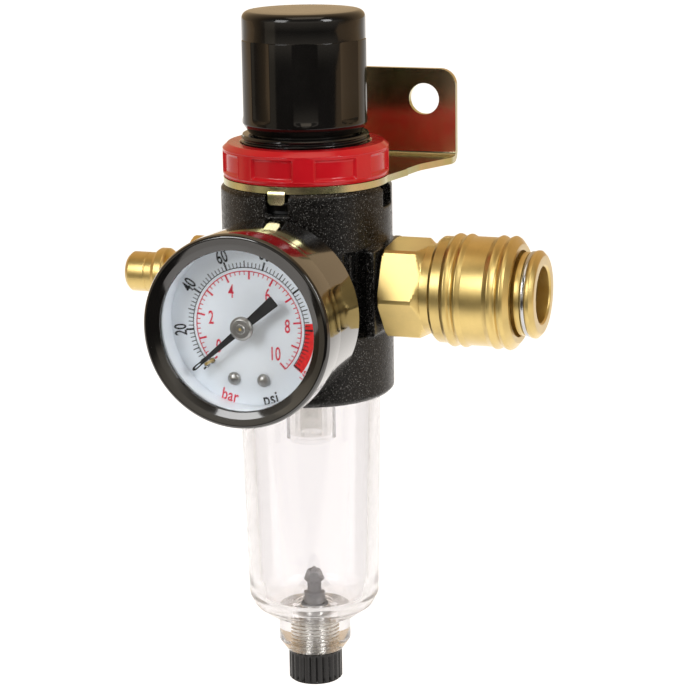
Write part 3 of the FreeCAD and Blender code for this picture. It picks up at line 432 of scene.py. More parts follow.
def place(name, me, mat, body, replaces=(), sharp=32.0, smooth=True):
    if smooth:
        me.shade_smooth()
        me.set_sharp_from_angle(angle=math.radians(sharp))
    ob = bpy.data.objects.new(name, me)
    bpy.context.scene.collection.objects.link(ob)
    me.materials.clear()
    me.materials.append(M[mat] if isinstance(mat, str) else mat)
    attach(ob, body)
    if replaces:
        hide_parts(*replaces)
    return ob


def rounded(pts, n=4, default=0.0):
    """A closed outline whose corners (r, a, fillet) are turned into arcs."""
    out = []
    N = len(pts)
    P = [np.array(p[:2], float) for p in pts]
    for i, p in enumerate(pts):
        rad = p[2] if len(p) > 2 else default
        c, q, s = P[i], P[i - 1], P[(i + 1) % N]
        if rad <= 0:
            out.append(tuple(c))
            continue
        d1, d2 = q - c, s - c
        l1, l2 = np.linalg.norm(d1), np.linalg.norm(d2)
        d1, d2 = d1 / l1, d2 / l2
        ang = math.acos(max(-1, min(1, float(d1 @ d2))))
        if ang > math.pi - 0.04 or ang < 0.02:
            out.append(tuple(c))
            continue
        t = min(rad / math.tan(ang / 2), 0.48 * l1, 0.48 * l2)
        r = t * math.tan(ang / 2)
        bis = (d1 + d2) / np.linalg.norm(d1 + d2)
        o = c + bis * (r / math.sin(ang / 2))
        va, vb = c + d1 * t - o, c + d2 * t - o
        T = math.pi - ang
        for k in range(n + 1):
            w = k / n
            v = (math.sin((1 - w) * T) * va + math.sin(w * T) * vb) / math.sin(T)
            out.append(tuple(o + v))
    return out


def lathe_data(prof, axis="Z", at=(0.0, 0.0), seg=144, rf=None, thetas=None, phase=0.0):
    th = thetas if thetas is not None else [2 * math.pi * (k + phase) / seg for k in range(seg)]
    verts, faces = [], []
    rings = []
    for r, a in prof:
        if abs(r) < 1e-7:
            rings.append([len(verts)] * len(th))
            p = {"Z": (at[0], at[1], a), "X": (a, at[0], at[1]), "Y": (at[0], a, at[1])}[axis]
            verts.append(p)
            continue
        ids = []
        for t in th:
            rr = rf(t, r, a) if rf else r
            c, s = rr * math.cos(t), rr * math.sin(t)
            p = {"Z": (at[0] + c, at[1] + s, a), "X": (a, at[0] + c, at[1] + s), "Y": (at[0] + c, a, at[1] + s)}[axis]
            ids.append(len(verts))
            verts.append(p)
        rings.append(ids)
    n, m = len(rings), len(th)
    for i in range(n):
        j = (i + 1) % n
        A, B = rings[i], rings[j]
        if A[0] == A[1] and B[0] == B[1]:
            continue
        for k in range(m):
            k2 = (k + 1) % m
            faces.append((A[k], A[k2], B[k2], B[k]))
    return verts, faces


def lathe(name, prof, mat, body, axis="Z", at=(0.0, 0.0), seg=144, rf=None, thetas=None, replaces=(), sharp=32.0, phase=0.0):
    v, f = lathe_data(prof, axis, at, seg, rf, thetas, phase)
    return make(name, v, f, mat, body, replaces, sharp)


def join(parts):
    verts, faces = [], []
    for v, f in parts:
        b = len(verts)
        verts += list(v)
        faces += [tuple(i + b for i in q) for q in f]
    return verts, faces


def tube_path(points, radius, seg=12, closed=False):
    """A round bar along points."""
    P = [Vector(p) for p in points]
    n = len(P)
    verts, faces = [], []
    up = None
    for i in range(n):
        if closed:
            t = (P[(i + 1) % n] - P[i - 1]).normalized()
        else:
            t = (P[min(i + 1, n - 1)] - P[max(i - 1, 0)]).normalized()
        if up is None:
            up = t.orthogonal().normalized()
        up = (up - t * up.dot(t)).normalized()
        side = t.cross(up)
        for k in range(seg):
            a = 2 * math.pi * k / seg
            verts.append(tuple(P[i] + (up * math.cos(a) + side * math.sin(a)) * radius))
    rng = n if closed else n - 1
    for i in range(rng):
        j = (i + 1) % n
        for k in range(seg):
            k2 = (k + 1) % seg
            faces.append((i * seg + k, i * seg + k2, j * seg + k2, j * seg + k))
    if not closed:
        faces.append(tuple(range(seg))[::-1])
        faces.append(tuple((n - 1) * seg + k for k in range(seg)))
    return verts, faces


def box_data(x0, x1, y0, y1, z0, z1):
    v = [(x, y, z) for x in (x0, x1) for y in (y0, y1) for z in (z0, z1)]
    f = [(0, 1, 3, 2), (4, 6, 7, 5), (0, 4, 5, 1), (2, 3, 7, 6), (0, 2, 6, 4), (1, 5, 7, 3)]
    return v, f


def smooth_step(x):
    x = max(0.0, min(1.0, x))
    return x * x * (3 - 2 * x)


def copy_cad(node, name=None, mat=None, sharp=30.0):
    """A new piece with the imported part's own shape."""
    src = nodes[node]
    me = src.data.copy()
    return place(name or node + "_skin", me, mat or slot_of(node), src["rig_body"], (node,), sharp)


def slot_of(node):
    mats = [m.name.split(".")[0] for m in nodes[node].data.materials if m]
    return SLOT_OF[node] if node in SLOT_OF else mats[0]


SLOT_OF = {}
for n_, o_ in nodes.items():
    SLOT_OF[n_] = o_.data.materials[0].name.split(".")[0]

# every carried-over part gets the worked-up version of its slot's material
FACING = {"knob": "knob_plastic", "adjusting_screw": "brass_z", "upper_spring_seat": "brass_z", "valve_seat": "brass_z", "valve_stem": "brass_z",
          "rear_port_plug": "brass_y", "gauge_socket": "brass_y", "pointer_arbor": "brass_y", "pointer_stop_pin": "brass_y",
          "movement_frame": "brass_z", "sector_gear": "brass_z", "movement_link": "brass_z"}
for n_, o_ in nodes.items():
    use = M[FACING.get(n_, SLOT_OF[n_])]
    for i in range(len(o_.data.materials)):
        o_.data.materials[i] = use
    for p_ in o_.data.polygons:
        p_.use_smooth = True
    o_.data.set_sharp_from_angle(angle=math.radians(30))


# ---------------------------------------------------------------- adjusting head
FLUTE0 = math.radians(21.2)
PER = math.radians(45)


def knob_r(t, r, z):
    if not (38.2 < z < 57.25) or r < 14.0:
        return r
    fade = smooth_step((z - 38.5) / 1.1)
    ph = (t - FLUTE0 + PER / 2) % PER - PER / 2
    R, D = 16.6, 30.65
    s = R * R - (D * math.sin(ph)) ** 2
    fl = D * math.cos(ph) - math.sqrt(s) if s > 0 else 99.0
    fl = min(fl, 18.0) + (1 - fade) * 0.6
    k = 0.035
    h = max(0.0, min(1.0, 0.5 + 0.5 * (fl - r) / k))
    return fl * (1 - h) + r * h - k * h * (1 - h)


flute_t = [-11.4, -10.9, -10.2, -8.5, -6.5, -4.5, -2.2, 0, 2.2, 4.5, 6.5, 8.5, 10.2, 10.9, 11.4]
land_t = [11.75, 12.2, 13.2, 15.5, 18, 20.2, 22.5, 24.8, 27, 29.5, 31.8, 32.8, 33.25]
knob_thetas = [FLUTE0 + math.radians(45 * k + a) for k in range(8) for a in flute_t + land_t]
kp = rounded([
    (12.4, 35.8), (13.2, 35.8, 0.25), (14.6, 38.0, 0.5), (14.6, 38.55), (14.6, 38.8), (14.6, 39.1), (14.6, 39.4), (14.6, 39.8), (14.6, 45.0), (14.6, 51.0),
    (14.6, 57.2, 0.13), (14.3, 57.2, 0.08), (14.3, 60.0), (14.3, 63.7, 2.8), (8.0, 63.7), (0, 63.67),
], 7)
kp = [p for p in kp if p[0] > 1e-6] + [(0, 63.65), (0, 60.8), (4.3, 60.8), (4.3, 53.4), (7.0, 53.4), (7.0, 54.2), (12.4, 54.2)]
lathe("adjusting_knob", kp, "knob_plastic", "knob", rf=knob_r, thetas=knob_thetas, replaces=("knob",), sharp=26)


# bonnet with its external thread
def thread(t, r, z, lo, hi, pitch, depth, fade=0.8):
    u = (z / pitch - t / (2 * math.pi)) % 1.0
    tri = abs(2 * u - 1)
    crest = smooth_step((tri - 0.12) / 0.76)
    w = smooth_step((z - lo) / fade) * smooth_step((hi - z) / fade)
    return r - depth * (1 - crest) * w


def bonnet_r(t, r, z):
    return thread(t, r, z, 24.2, 35.35, 1.1, 0.55, 0.3) if r > 14.9 and 24.2 < z < 35.2 else r


levels = [(15.0, 24.2 + 0.1 * k) for k in range(1, 106)]
bp = rounded([(13.7, 17.0), (17.45, 17.0, 0.2), (17.45, 23.4), (16.8, 24.0, 0.2), (15.0, 24.0)], 3) + levels + rounded(
    [(15.0, 34.8), (15.0, 35.05), (14.6, 35.4, 0.15), (11.9, 35.4), (11.9, 51.0), (10.9, 52.0, 0.3), (4.15, 52.0), (4.15, 49.0), (10.5, 49.0), (10.5, 22.4), (13.7, 22.4)], 3)
lathe("bonnet_threaded", bp, "thread_plastic", "regulator", rf=bonnet_r, seg=120, replaces=("bonnet",), sharp=40)

# lock nut with eight recessed grips
NUT0 = math.radians(-4.0)


def nut_r(t, r, z):
    if r < 18.6 or not (26.5 < z < 32.2):
        return r
    ph = abs((t - NUT0 + PER / 2) % PER - PER / 2)
    a = smooth_step((math.radians(15.6) - ph) / math.radians(1.5))
    b = smooth_step((z - 26.75) / 0.55) * smooth_step((31.75 - z) / 0.55)
    rim = smooth_step((math.radians(17.2) - ph) / math.radians(1.4)) * smooth_step((z - 26.45) / 0.35) * smooth_step((32.05 - z) / 0.35)
    return r - 0.62 * a * b - 0.06 + 0.06 * rim


grip_t = [0, 4, 8, 11.5, 13.6, 14.1, 14.4, 14.7, 15.0, 15.3, 15.6, 15.9, 16.4, 16.9, 17.4, 18.6, 20.5]
nt = sorted(set([round(v, 3) for g in grip_t for v in (g, -g)] + [22.5]))
nut_thetas = [NUT0 + math.radians(45 * k + a) for k in range(8) for a in nt]
nz = [26.5, 26.65, 26.75, 26.85, 26.95, 27.05, 27.15, 27.3, 27.6, 28.6, 29.8, 30.9, 31.2, 31.35, 31.45, 31.55, 31.65, 31.75, 31.9, 32.05]
np_ = rounded([(15.05, 25.65), (19.0, 25.65, 0.3), (19.4, 26.05, 0.3)], 4) + [(19.4, z) for z in nz] + rounded(
    [(19.4, 32.15), (19.4, 32.35, 0.2), (18.15, 33.5, 0.35), (15.4, 33.5, 0.25), (15.05, 33.1)], 5)
lathe("lock_nut_ring", np_, "red_plastic", "lock_nut", rf=nut_r, thetas=nut_thetas, replaces=("lock_nut",), sharp=40)


# ---------------------------------------------------------------- flat shapes
def flat_mesh(loops, thick):
    """A plate from closed loops (outer first), in its own XY plane, centred on Z."""
    cu = bpy.data.curves.new("flat", "CURVE")
    cu.dimensions = "2D"
    cu.fill_mode = "BOTH"
    cu.extrude = thick / 2
    for loop in loops:
        sp = cu.splines.new("POLY")
        sp.points.add(len(loop) - 1)
        for p, c in zip(sp.points, loop):
            p.co = (c[0], c[1], 0, 1)
        sp.use_cyclic_u = True
    ob = bpy.data.objects.new("flat", cu)
    bpy.context.scene.collection.objects.link(ob)
    bpy.context.view_layer.update()
    me = bpy.data.meshes.new_from_object(ob.evaluated_get(bpy.context.evaluated_depsgraph_get()))
    v = [tuple(x.co) for x in me.vertices]
    f = [tuple(p.vertices) for p in me.polygons]
    bpy.data.objects.remove(ob)
    bpy.data.curves.remove(cu)
    bpy.data.meshes.remove(me)
    return v, f


def text_mesh(body, size, thick, squeeze=0.8, bold=0.05):
    cu = bpy.data.curves.new("num", "FONT")
    cu.body = body
    cu.size = size
    cu.align_x = "CENTER"
    cu.align_y = "CENTER"
    cu.extrude = thick / 2
    cu.offset = bold
    cu.space_character = 1.05
    ob = bpy.data.objects.new("num", cu)
    bpy.context.scene.collection.objects.link(ob)
    bpy.context.view_layer.update()
    me = bpy.data.meshes.new_from_object(ob.evaluated_get(bpy.context.evaluated_depsgraph_get()))
    v = np.array([tuple(x.co) for x in me.vertices])
    f = [tuple(p.vertices) for p in me.polygons]
    bpy.data.objects.remove(ob)
    bpy.data.curves.remove(cu)
    bpy.data.meshes.remove(me)
    v[:, 1] -= (v[:, 1].max() + v[:, 1].min()) / 2
    v[:, 0] -= (v[:, 0].max() + v[:, 0].min()) / 2
    v[:, 0] *= squeeze
    return v, f


def arc_pts(cx, cy, r, a0, a1, n):
    return [(cx + r * math.cos(math.radians(a0 + (a1 - a0) * k / n)), cy + r * math.sin(math.radians(a0 + (a1 - a0) * k / n))) for k in range(n + 1)]


def rect(cx, cy, w, h, rot=0.0, rad=0.0):
    pts = [(-w / 2, -h / 2, rad), (w / 2, -h / 2, rad), (w / 2, h / 2, rad), (-w / 2, h / 2, rad)]
    if rad:
        pts = rounded(pts, 4)
    c, s = math.cos(math.radians(rot)), math.sin(math.radians(rot))
    return [(cx + p[0] * c - p[1] * s, cy + p[0] * s + p[1] * c) for p in pts]


# ---------------------------------------------------------------- bracket, one bent sheet
RM, YB, ZF = 1.9, 33.3, 24.8
BEND = RM * math.pi / 2
S_TOP = YB + BEND + (46.6 - 26.7)
S_HOLE = YB + BEND + (39.2 - 26.7)
side = rounded([(19.6, 6.0, 2.0), (21.4, 20.0, 16.0), (26.0, 31.2, 5.0), (26.0, 40.0)], 8)
side = [p for p in side if p[1] < 39.5]
top_c = [(22.0 + 4.0 * math.cos(math.radians(a)), S_TOP - 4.0 + 4.0 * math.sin(math.radians(a))) for a in range(0, 91, 9)]
right = [p for p in side if p[1] > 3.5] + [(26.0, 42.0)] + top_c
left = [(-x, s) for x, s in right[::-1]]
ring = arc_pts(0, 0, 19.3, 180 - 8, 360 + 8, 72)
outline = right + left + ring
hole_r = arc_pts(18.0, S_HOLE, 3.8, 0, 360 - 7.5, 47)
hole_l = arc_pts(-18.0, S_HOLE, 3.8, 0, 360 - 7.5, 47)
bore = arc_pts(0, 0, 15.15, 0, 360 - 3.75, 95)


def bend_sheet(v, f, cuts):
    """Cut the flat plate across at each s and fold it, keeping its thickness."""
    bm = bmesh.new()
    vs = [bm.verts.new(p) for p in v]
    for q in f:
        try:
            bm.faces.new([vs[i] for i in q])
        except ValueError:
            pass
    bmesh.ops.remove_doubles(bm, verts=bm.verts, dist=1e-4)
    for s in cuts:
        bmesh.ops.bisect_plane(bm, geom=bm.verts[:] + bm.edges[:] + bm.faces[:], dist=1e-6, plane_co=(0, s, 0), plane_no=(0, 1, 0))
    for p in bm.verts:
        x, s, h = p.co
        if s <= YB:
            y, z, ny, nz_ = s, ZF, 0.0, 1.0
        elif s <= YB + BEND:
            a = (s - YB) / RM
            y, z, ny, nz_ = YB + RM * math.sin(a), ZF + RM - RM * math.cos(a), -math.sin(a), math.cos(a)
        else:
            y, z, ny, nz_ = YB + RM, ZF + RM + (s - YB - BEND), -1.0, 0.0
        p.co = (x, y + ny * h, z + nz_ * h)
    bm.verts.index_update()
    out = [tuple(p.co) for p in bm.verts], [tuple(q.index for q in fc.verts) for fc in bm.faces]
    bm.free()
    return out


plate = flat_mesh([outline, bore, hole_r, hole_l], 1.6)
plate = bend_sheet(*plate, [YB + BEND * k / 10 for k in range(11)])
# the tab that drops into the front notch
tab_path = [(-17.2, 24.8), (-17.9, 24.8)] + [(-17.9 - 1.1 * math.sin(math.radians(a)), 23.7 + 1.1 * math.cos(math.radians(a))) for a in range(10, 91, 10)] + [(-19.0, z) for z in (23.3, 23.0, 22.7, 22.55, 22.3, 22.1, 21.9, 21.7, 21.6, 21.55)]
tv, tf = [], []
n_tab = len(tab_path)
for i, (y, z) in enumerate(tab_path):
    q0, q1 = tab_path[max(i - 1, 0)], tab_path[min(i + 1, n_tab - 1)]
    dy, dz = q1[0] - q0[0], q1[1] - q0[1]
    L = math.hypot(dy, dz)
    ny, nz_ = dz / L, -dy / L
    hw = 2.05
    if z < 22.6:
        hw = 2.05 - 1.0 + math.sqrt(max(0.0, 1.0 - (22.55 - z) ** 2)) if z < 22.55 else 2.05
    for sx in (-1, -0.33, 0.33, 1):
        tv.append((hw * sx, y - ny * 0.8, z - nz_ * 0.8))
    for sx in (1, 0.33, -0.33, -1):
        tv.append((hw * sx, y + ny * 0.8, z + nz_ * 0.8))
for i in range(n_tab - 1):
    for k in range(8):
        k2 = (k + 1) % 8
        tf.append((i * 8 + k, i * 8 + k2, (i + 1) * 8 + k2, (i + 1) * 8 + k))
tf.append(tuple(range(8))[::-1])
tf.append(tuple((n_tab - 1) * 8 + k for k in range(8)))
bv, bf = join([plate, (tv, tf)])
bracket = make("bent_bracket", bv, bf, "zinc_plated_steel", "regulator", ("mounting_bracket",), sharp=30, merge=1e-4)
bev = bracket.modifiers.new("edge", "BEVEL")
bev.width = 0.42 * MM
bev.segments = 3
bev.limit_method = "ANGLE"
bev.angle_limit = math.radians(50)
bev.harden_normals = False


# ---------------------------------------------------------------- die-cast body
def cast_skin(node, name, voxel, mat, spread=18, keep=0.55):
    """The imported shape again, remeshed and softened as a casting: fillets grow in the inside corners."""
    src = nodes[node]
    me = src.data.copy()
    ob = bpy.data.objects.new(name, me)
    bpy.context.scene.collection.objects.link(ob)
    md = ob.modifiers.new("w", "WELD")
    md.merge_threshold = 1e-6
    rm = ob.modifiers.new("v", "REMESH")
    rm.mode = "VOXEL"
    rm.voxel_size = voxel
    rm.adaptivity = 0.0
    bpy.context.view_layer.update()
    fine = bpy.data.meshes.new_from_object(ob.evaluated_get(bpy.context.evaluated_depsgraph_get()))
    bpy.data.objects.remove(ob)
    bpy.data.meshes.remove(me)
    n = len(fine.vertices)
    co = np.empty(n * 3)
    fine.vertices.foreach_get("co", co)
    co = co.reshape(-1, 3)
    e = np.empty(len(fine.edges) * 2, int)
    fine.edges.foreach_get("vertices", e)
    e = e.reshape(-1, 2)
    deg = np.bincount(e.ravel(), minlength=n).astype(float)
    deg[deg == 0] = 1

    def avg(a):
        out = np.empty_like(a)
        for c in range(a.shape[1]):
            out[:, c] = (np.bincount(e[:, 0], a[e[:, 1], c], n) + np.bincount(e[:, 1], a[e[:, 0], c], n)) / deg
        return out

    for _ in range(2):
        co = co + keep * (avg(co) - co)
    fine.vertices.foreach_set("co", co.ravel())
    fine.update()
    nor = np.empty(n * 3)
    fine.vertex_normals.foreach_get("vector", nor)
    nor = nor.reshape(-1, 3)
    h = ((avg(co) - co) * nor).sum(1) / voxel
    w = np.clip((h - 0.03) * 14, 0, 1)[:, None]
    for _ in range(3):
        w = np.maximum(w, np.clip(avg(w) * 1.25, 0, 1))
    for _ in range(spread):
        co = co + w * 0.6 * (avg(co) - co)
    fine.vertices.foreach_set("co", co.ravel())
    fine.update()
    return place(name, fine, mat, src["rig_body"], (node,), sharp=180)


cast_skin("regulator_body", "cast_body", 0.00026, "body_paint")

# ---------------------------------------------------------------- outlet coupler
HEX_A = 10.5


def hexagon(apothem, corner, r0):
    """Radius limit of a hexagon with one corner at angle r0 and its corners turned off at corner."""
    def f(t, r, x):
        ph = (t - r0 + math.pi / 6 + math.pi / 6) % (math.pi / 3) - math.pi / 6
        flat = apothem / math.cos(ph) if abs(ph) < math.pi / 5.9 else corner
        return min(r, flat, corner)
    return f


C0 = math.radians(6.0)
hx = hexagon(HEX_A, 11.86, C0)
cut_a = math.degrees(math.acos(HEX_A / 11.86))
hex_t = []
for k in range(6):
    c = 6.0 + 60 * k
    for a in (cut_a - 30 + 0.0, -1.3, 0.0, 1.3, 30 - cut_a):
        hex_t.append(c + a)
    for a in (30 - cut_a + 0.6, 5.5, 10, 15, 20, 25, 30, 35, 40, 45, 50, 54.5, 60 - (30 - cut_a) - 0.6):
        hex_t.append(c + a)
hex_thetas = [math.radians(a) for a in sorted(hex_t)]
cb = rounded([(3.6, 10.2), (5.2, 10.2, 0.2), (5.65, 10.7), (5.65, 21.0)], 3) + [
    (11.2, 21.0), (11.6, 21.05), (11.9, 21.35), (12.12, 21.8), (12.12, 28.6), (11.9, 28.95), (11.6, 29.3), (11.3, 29.65), (11.0, 30.0), (10.7, 30.4), (10.5, 30.6),
] + rounded([(10.5, 30.9), (10.5, 34.4, 0.25), (8.9, 34.4), (8.9, 36.4), (7.9, 36.4), (7.9, 54.0), (6.3, 54.0), (6.3, 27.0), (3.6, 27.0)], 3)
lathe("coupler_hex_body", cb, "brass", "regulator", "X", thetas=hex_thetas, rf=lambda t, r, x: hx(t, r, x) if 20.99 < x < 30.95 and r > 9.0 else r, replaces=("coupler_body",), sharp=17)

sl = [
    (11.35, 32.9), (11.8, 32.9, 0.25), (12.35, 33.6, 0.4), (12.35, 35.9, 0.3), (12.85, 36.35, 0.3), (13.2, 37.0, 0.5), (12.85, 37.65, 0.3), (12.35, 38.1, 0.25), (12.35, 38.6, 0.25),
    (12.85, 39.05, 0.3), (13.2, 39.7, 0.5), (12.85, 40.35, 0.3), (12.6, 40.8, 0.3), (12.6, 46.0, 0.3), (12.85, 46.65, 0.3), (13.2, 47.3, 0.5), (12.85, 47.95, 0.3), (12.35, 48.5, 0.25),
    (12.35, 48.9, 0.25), (12.85, 49.45, 0.3), (13.2, 50.2, 0.5), (12.8, 50.9, 0.3), (11.4, 52.0, 0.3), (9.95, 52.0, 0.2), (9.95, 49.9), (8.05, 45.6),
    (8.05, 41.6), (11.35, 41.6),
]
lathe("knurled_sleeve", rounded(sl, 4), "brass", "coupler_sleeve", "X", seg=168, replaces=("coupler_sleeve",), sharp=30)
fr = [(7.92, 52.6), (9.6, 52.6, 0.1), (9.6, 53.9, 0.08), (9.1, 53.9), (9.1, 55.25), (10.0, 55.25, 0.08), (10.1, 55.6, 0.1), (10.1, 56.2, 0.2), (9.3, 57.0, 0.25), (8.9, 57.2, 0.12), (6.9, 57.2, 0.12), (6.5, 56.8, 0.1), (6.5, 54.05), (7.92, 54.05)]
lathe("coupler_nose", rounded(fr, 4), "brass", "regulator", "X", seg=160, replaces=("coupler_front_ring",), sharp=30)
gap = 0.10
ring_pts = [(54.58, 9.51 * math.cos(-math.pi / 2 + gap + (2 * math.pi - 2 * gap) * k / 120), 9.51 * math.sin(-math.pi / 2 + gap + (2 * math.pi - 2 * gap) * k / 120)) for k in range(121)]
sv, sf = tube_path(ring_pts, 0.36, 12)
sv = [(54.58 + (x - 54.58) * 1.62, y, z) for x, y, z in sv]
make("snap_ring_wire", sv, sf, "steel", "regulator", ("snap_ring",), sharp=50)

# ---------------------------------------------------------------- inlet plug nipple
N0 = math.radians(90)
nhx = hexagon(9.8 * math.cos(math.pi / 6), 9.55, N0)
nip_t = sorted([math.radians(90 + 60 * k + a) for k in range(6) for a in (-2.6, -1.3, 0, 1.3, 2.6, 6, 10, 15, 20, 25, 30, 35, 40, 45, 50, 54)])
npf = rounded([(2.9, -45.7, 0.12), (4.0, -45.7, 0.25), (4.8, -44.8, 0.5), (4.8, -41.0), (4.8, -40.75, 0.05), (4.7, -40.6, 0.05), (4.7, -40.45, 0.05), (4.8, -40.3, 0.05), (4.8, -38.6, 0.2), (5.6, -38.2, 0.3), (6.0, -37.6, 0.5), (6.0, -35.8, 0.5), (5.6, -35.2, 0.3), (4.3, -34.6, 0.4), (4.3, -31.5, 0.5)], 4) + [
    (7.8, -29.6), (8.4, -29.2), (9.0, -28.95), (9.4, -28.8), (9.8, -28.5), (9.8, -21.6), (9.4, -21.3), (9.0, -21.2)] + rounded([(7.0, -21.2), (5.65, -21.2), (5.65, -10.9), (5.2, -10.4), (2.9, -10.4)], 2)
lathe("plug_nipple", npf, "brass", "regulator", "X", thetas=nip_t, rf=lambda t, r, x: nhx(t, r, x) if -29.0 < x < -21.15 and r > 7.9 else r, replaces=("inlet_nipple",), sharp=17)

# ---------------------------------------------------------------- bowl and drain
bw = [
    (13.9, -15.2, 0.2), (17.45, -15.2, 0.3), (17.45, -24.0, 0.3), (16.7, -24.6, 0.3), (16.7, -30.0), (15.95, -66.0, 6.0), (15.7, -76.8, 1.6),
    (14.3, -79.6, 2.0), (11.6, -81.6, 1.2), (8.7, -82.6, 0.8), (8.7, -88.8, 0.5), (7.1, -91.2, 0.3),
    (3.6, -91.2, 0.05), (3.6, -81.2, 0.1), (4.6, -81.2, 0.1), (4.6, -80.2, 0.2), (10.2, -79.4, 1.6), (12.3, -76.6, 2.2), (12.8, -72.0, 3.0), (13.1, -60.0), (13.9, -30.0),
]
lathe("clear_bowl_moulding", rounded(bw, 6), "clear_bowl", "bowl", seg=160, replaces=("bowl",), sharp=50)


def bush_r(t, r, z):
    return thread(t, r, z, -91.0, -81.4, 0.95, 0.30, 0.3) if r > 3.8 else r


cup = rounded([(2.5, -36.65), (5.45, -36.65), (5.45, -25.2), (5.8, -25.2, 0.1), (5.8, -38.0, 0.5), (5.2, -38.6, 0.4)], 3) + [(0, -38.6), (0, -37.6), (2.5, -37.6)]
lathe("filter_cup", cup, "clear_cup", "regulator", seg=96, replaces=("filter_retainer",), sharp=40)
# two grey see-through strips on the cup's left and right outline as the camera sees it: painted dark edge lines of the
# clear cup
edge_strips = []
for k in range(2):
    a = math.radians(20.6 + 180 * k)
    ca, sa = math.cos(a), math.sin(a)
    vs_ = []
    for r_, hw_, z_ in ((5.25, 0.16, -26.6), (5.86, 0.16, -26.6), (5.05, 0.46, -38.2), (5.86, 0.52, -38.0)):
        for sgn in (-1, 1):
            vs_.append((r_ * ca - sgn * hw_ * sa, r_ * sa + sgn * hw_ * ca, z_))
    edge_strips.append((vs_, [(0, 1, 3, 2), (4, 6, 7, 5), (0, 4, 5, 1), (2, 3, 7, 6), (0, 2, 6, 4), (1, 5, 7, 3)]))
v, f = join(edge_strips)
make("cup_edge_shade_strips", v, f, "grey_edge_shade", "regulator", sharp=30)


bl = [(2.05, -91.2), (3.5, -91.2), (3.75, -91.1)] + [(3.92, -91.0 + 0.08 * k) for k in range(1, 120)] + [(3.75, -81.4), (3.5, -81.22), (2.05, -81.22)]
lathe("threaded_bush", bl, "nickel_plated_brass", "bowl", rf=bush_r, seg=64, replaces=("drain_bush",), sharp=40)
sr = rounded([(2.62, -81.12, 0.1), (3.25, -81.12, 0.25), (3.35, -80.7, 0.2), (3.25, -80.15, 0.25), (2.62, -80.15, 0.1)], 4)
lathe("stem_seal", sr, "rubber", "drain_stem", seg=64, replaces=("drain_seal",), sharp=60)
ds = [(0.9, -83.0), (0.9, -98.0), (1.9, -98.0, 0.1), (1.9, -80.05), (2.6, -80.05, 0.15), (2.6, -77.4, 0.2), (1.7, -77.0, 0.2), (1.7, -74.4, 0.15), (2.5, -73.6, 0.2), (1.3, -70.4, 0.25)]
dp = rounded(ds, 4) + [(0, -70.38), (0, -83.0)]
lathe("barbed_stem", dp, "grey_plastic", "drain_stem", seg=64, replaces=("drain_stem",), sharp=40)


def cap_r(t, r, z):
    if r < 5.9:
        return r
    w = smooth_step((z + 98.9) / 0.5) * smooth_step((-91.8 - z) / 0.4)
    u = (t / (2 * math.pi) * 24) % 1.0
    groove = math.exp(-((u - 0.5) / 0.17) ** 2)
    return r - 0.42 * groove * w


cz = [-98.9, -98.75, -98.6, -98.4, -97.5, -96.0, -94.0, -92.6, -92.2, -91.95]
cpz = [(2.0, -98.2), (1.1, -98.2), (1.1, -99.3)] + rounded([(1.5, -99.3), (5.6, -99.3, 0.3), (6.5, -98.95, 0.3)], 4)[1:] + [(6.5, z) for z in cz[1:]] + rounded([(6.5, -91.8), (6.5, -91.35, 0.4), (4.0, -91.35), (2.0, -91.35)], 4)
lathe("knurled_cap", cpz, "black_plastic", "drain_cap", rf=cap_r, seg=240, replaces=("drain_cap",), sharp=40)

# ---------------------------------------------------------------- pressure gauge
GX, GZ, GF, GB = 0.0, -2.0, -46.7, -23.4
bz = [
    (18.0, -45.3, 0.1), (18.15, -45.72, 0.2), (19.6, -46.28, 1.2), (21.1, -46.7, 0.5), (21.6, -46.42, 0.4), (21.9, -45.7, 0.5),
    (21.9, -38.85, 0.15), (21.45, -38.6, 0.1), (21.45, -43.05), (19.6, -43.05), (19.6, -45.0), (18.0, -45.0),
]
lathe("gauge_rim", rounded(bz, 6), "gauge_enamel", "regulator", "Y", (GX, GZ), seg=200, replaces=("gauge_bezel",), sharp=40)
cs = [
    (5.1, GB, 0.1), (19.7, GB, 0.4), (21.0, GB - 0.8, 0.6), (21.4, GB - 1.8, 0.6), (21.4, -38.2), (21.4, -43.0), (20.4, -43.0), (20.4, GB - 1.3), (5.1, GB - 1.3),
]
lathe("gauge_cup", rounded(cs, 5), "gauge_enamel", "regulator", "Y", (GX, GZ), seg=200, replaces=("gauge_case",), sharp=40)
wn = rounded([(19.5, -44.95, 0.15), (19.5, -43.7, 0.1)], 3)
wn = [(0, -44.95), (10, -44.95), (19.4, -44.95), (19.5, -44.85), (19.5, -43.8), (19.4, -43.7), (10, -43.7), (0, -43.7)]
lathe("gauge_lens", wn, "gauge_glass", "regulator", "Y", (GX, GZ), seg=128, replaces=("gauge_window",), sharp=40)
wg = [(18.3, -43.65, 0.1), (19.5, -43.65, 0.1), (19.5, -38.65, 0.1), (18.3, -38.65, 0.1)]
lathe("spacer_ring", rounded(wg, 3), "dial_white", "regulator", "Y", (GX, GZ), seg=128, replaces=("window_gasket",), sharp=40)

DIAL_ROT = -1.8
Z0 = 225.0 + DIAL_ROT
PER_BAR = -27.0


def bar_angle(b):
    return Z0 + PER_BAR * b


def to_dial(v, off=0.0):
    """Flat drawing coordinates (right, up, out) onto the dial's front."""
    v = np.asarray(v, float)
    out = np.empty_like(v)
    out[:, 0] = GX + v[:, 0] * 0.986 + 0.22
    out[:, 1] = -38.6 - 0.018 - off - v[:, 2]
    out[:, 2] = GZ + v[:, 1] * 0.992 - 0.33
    return out


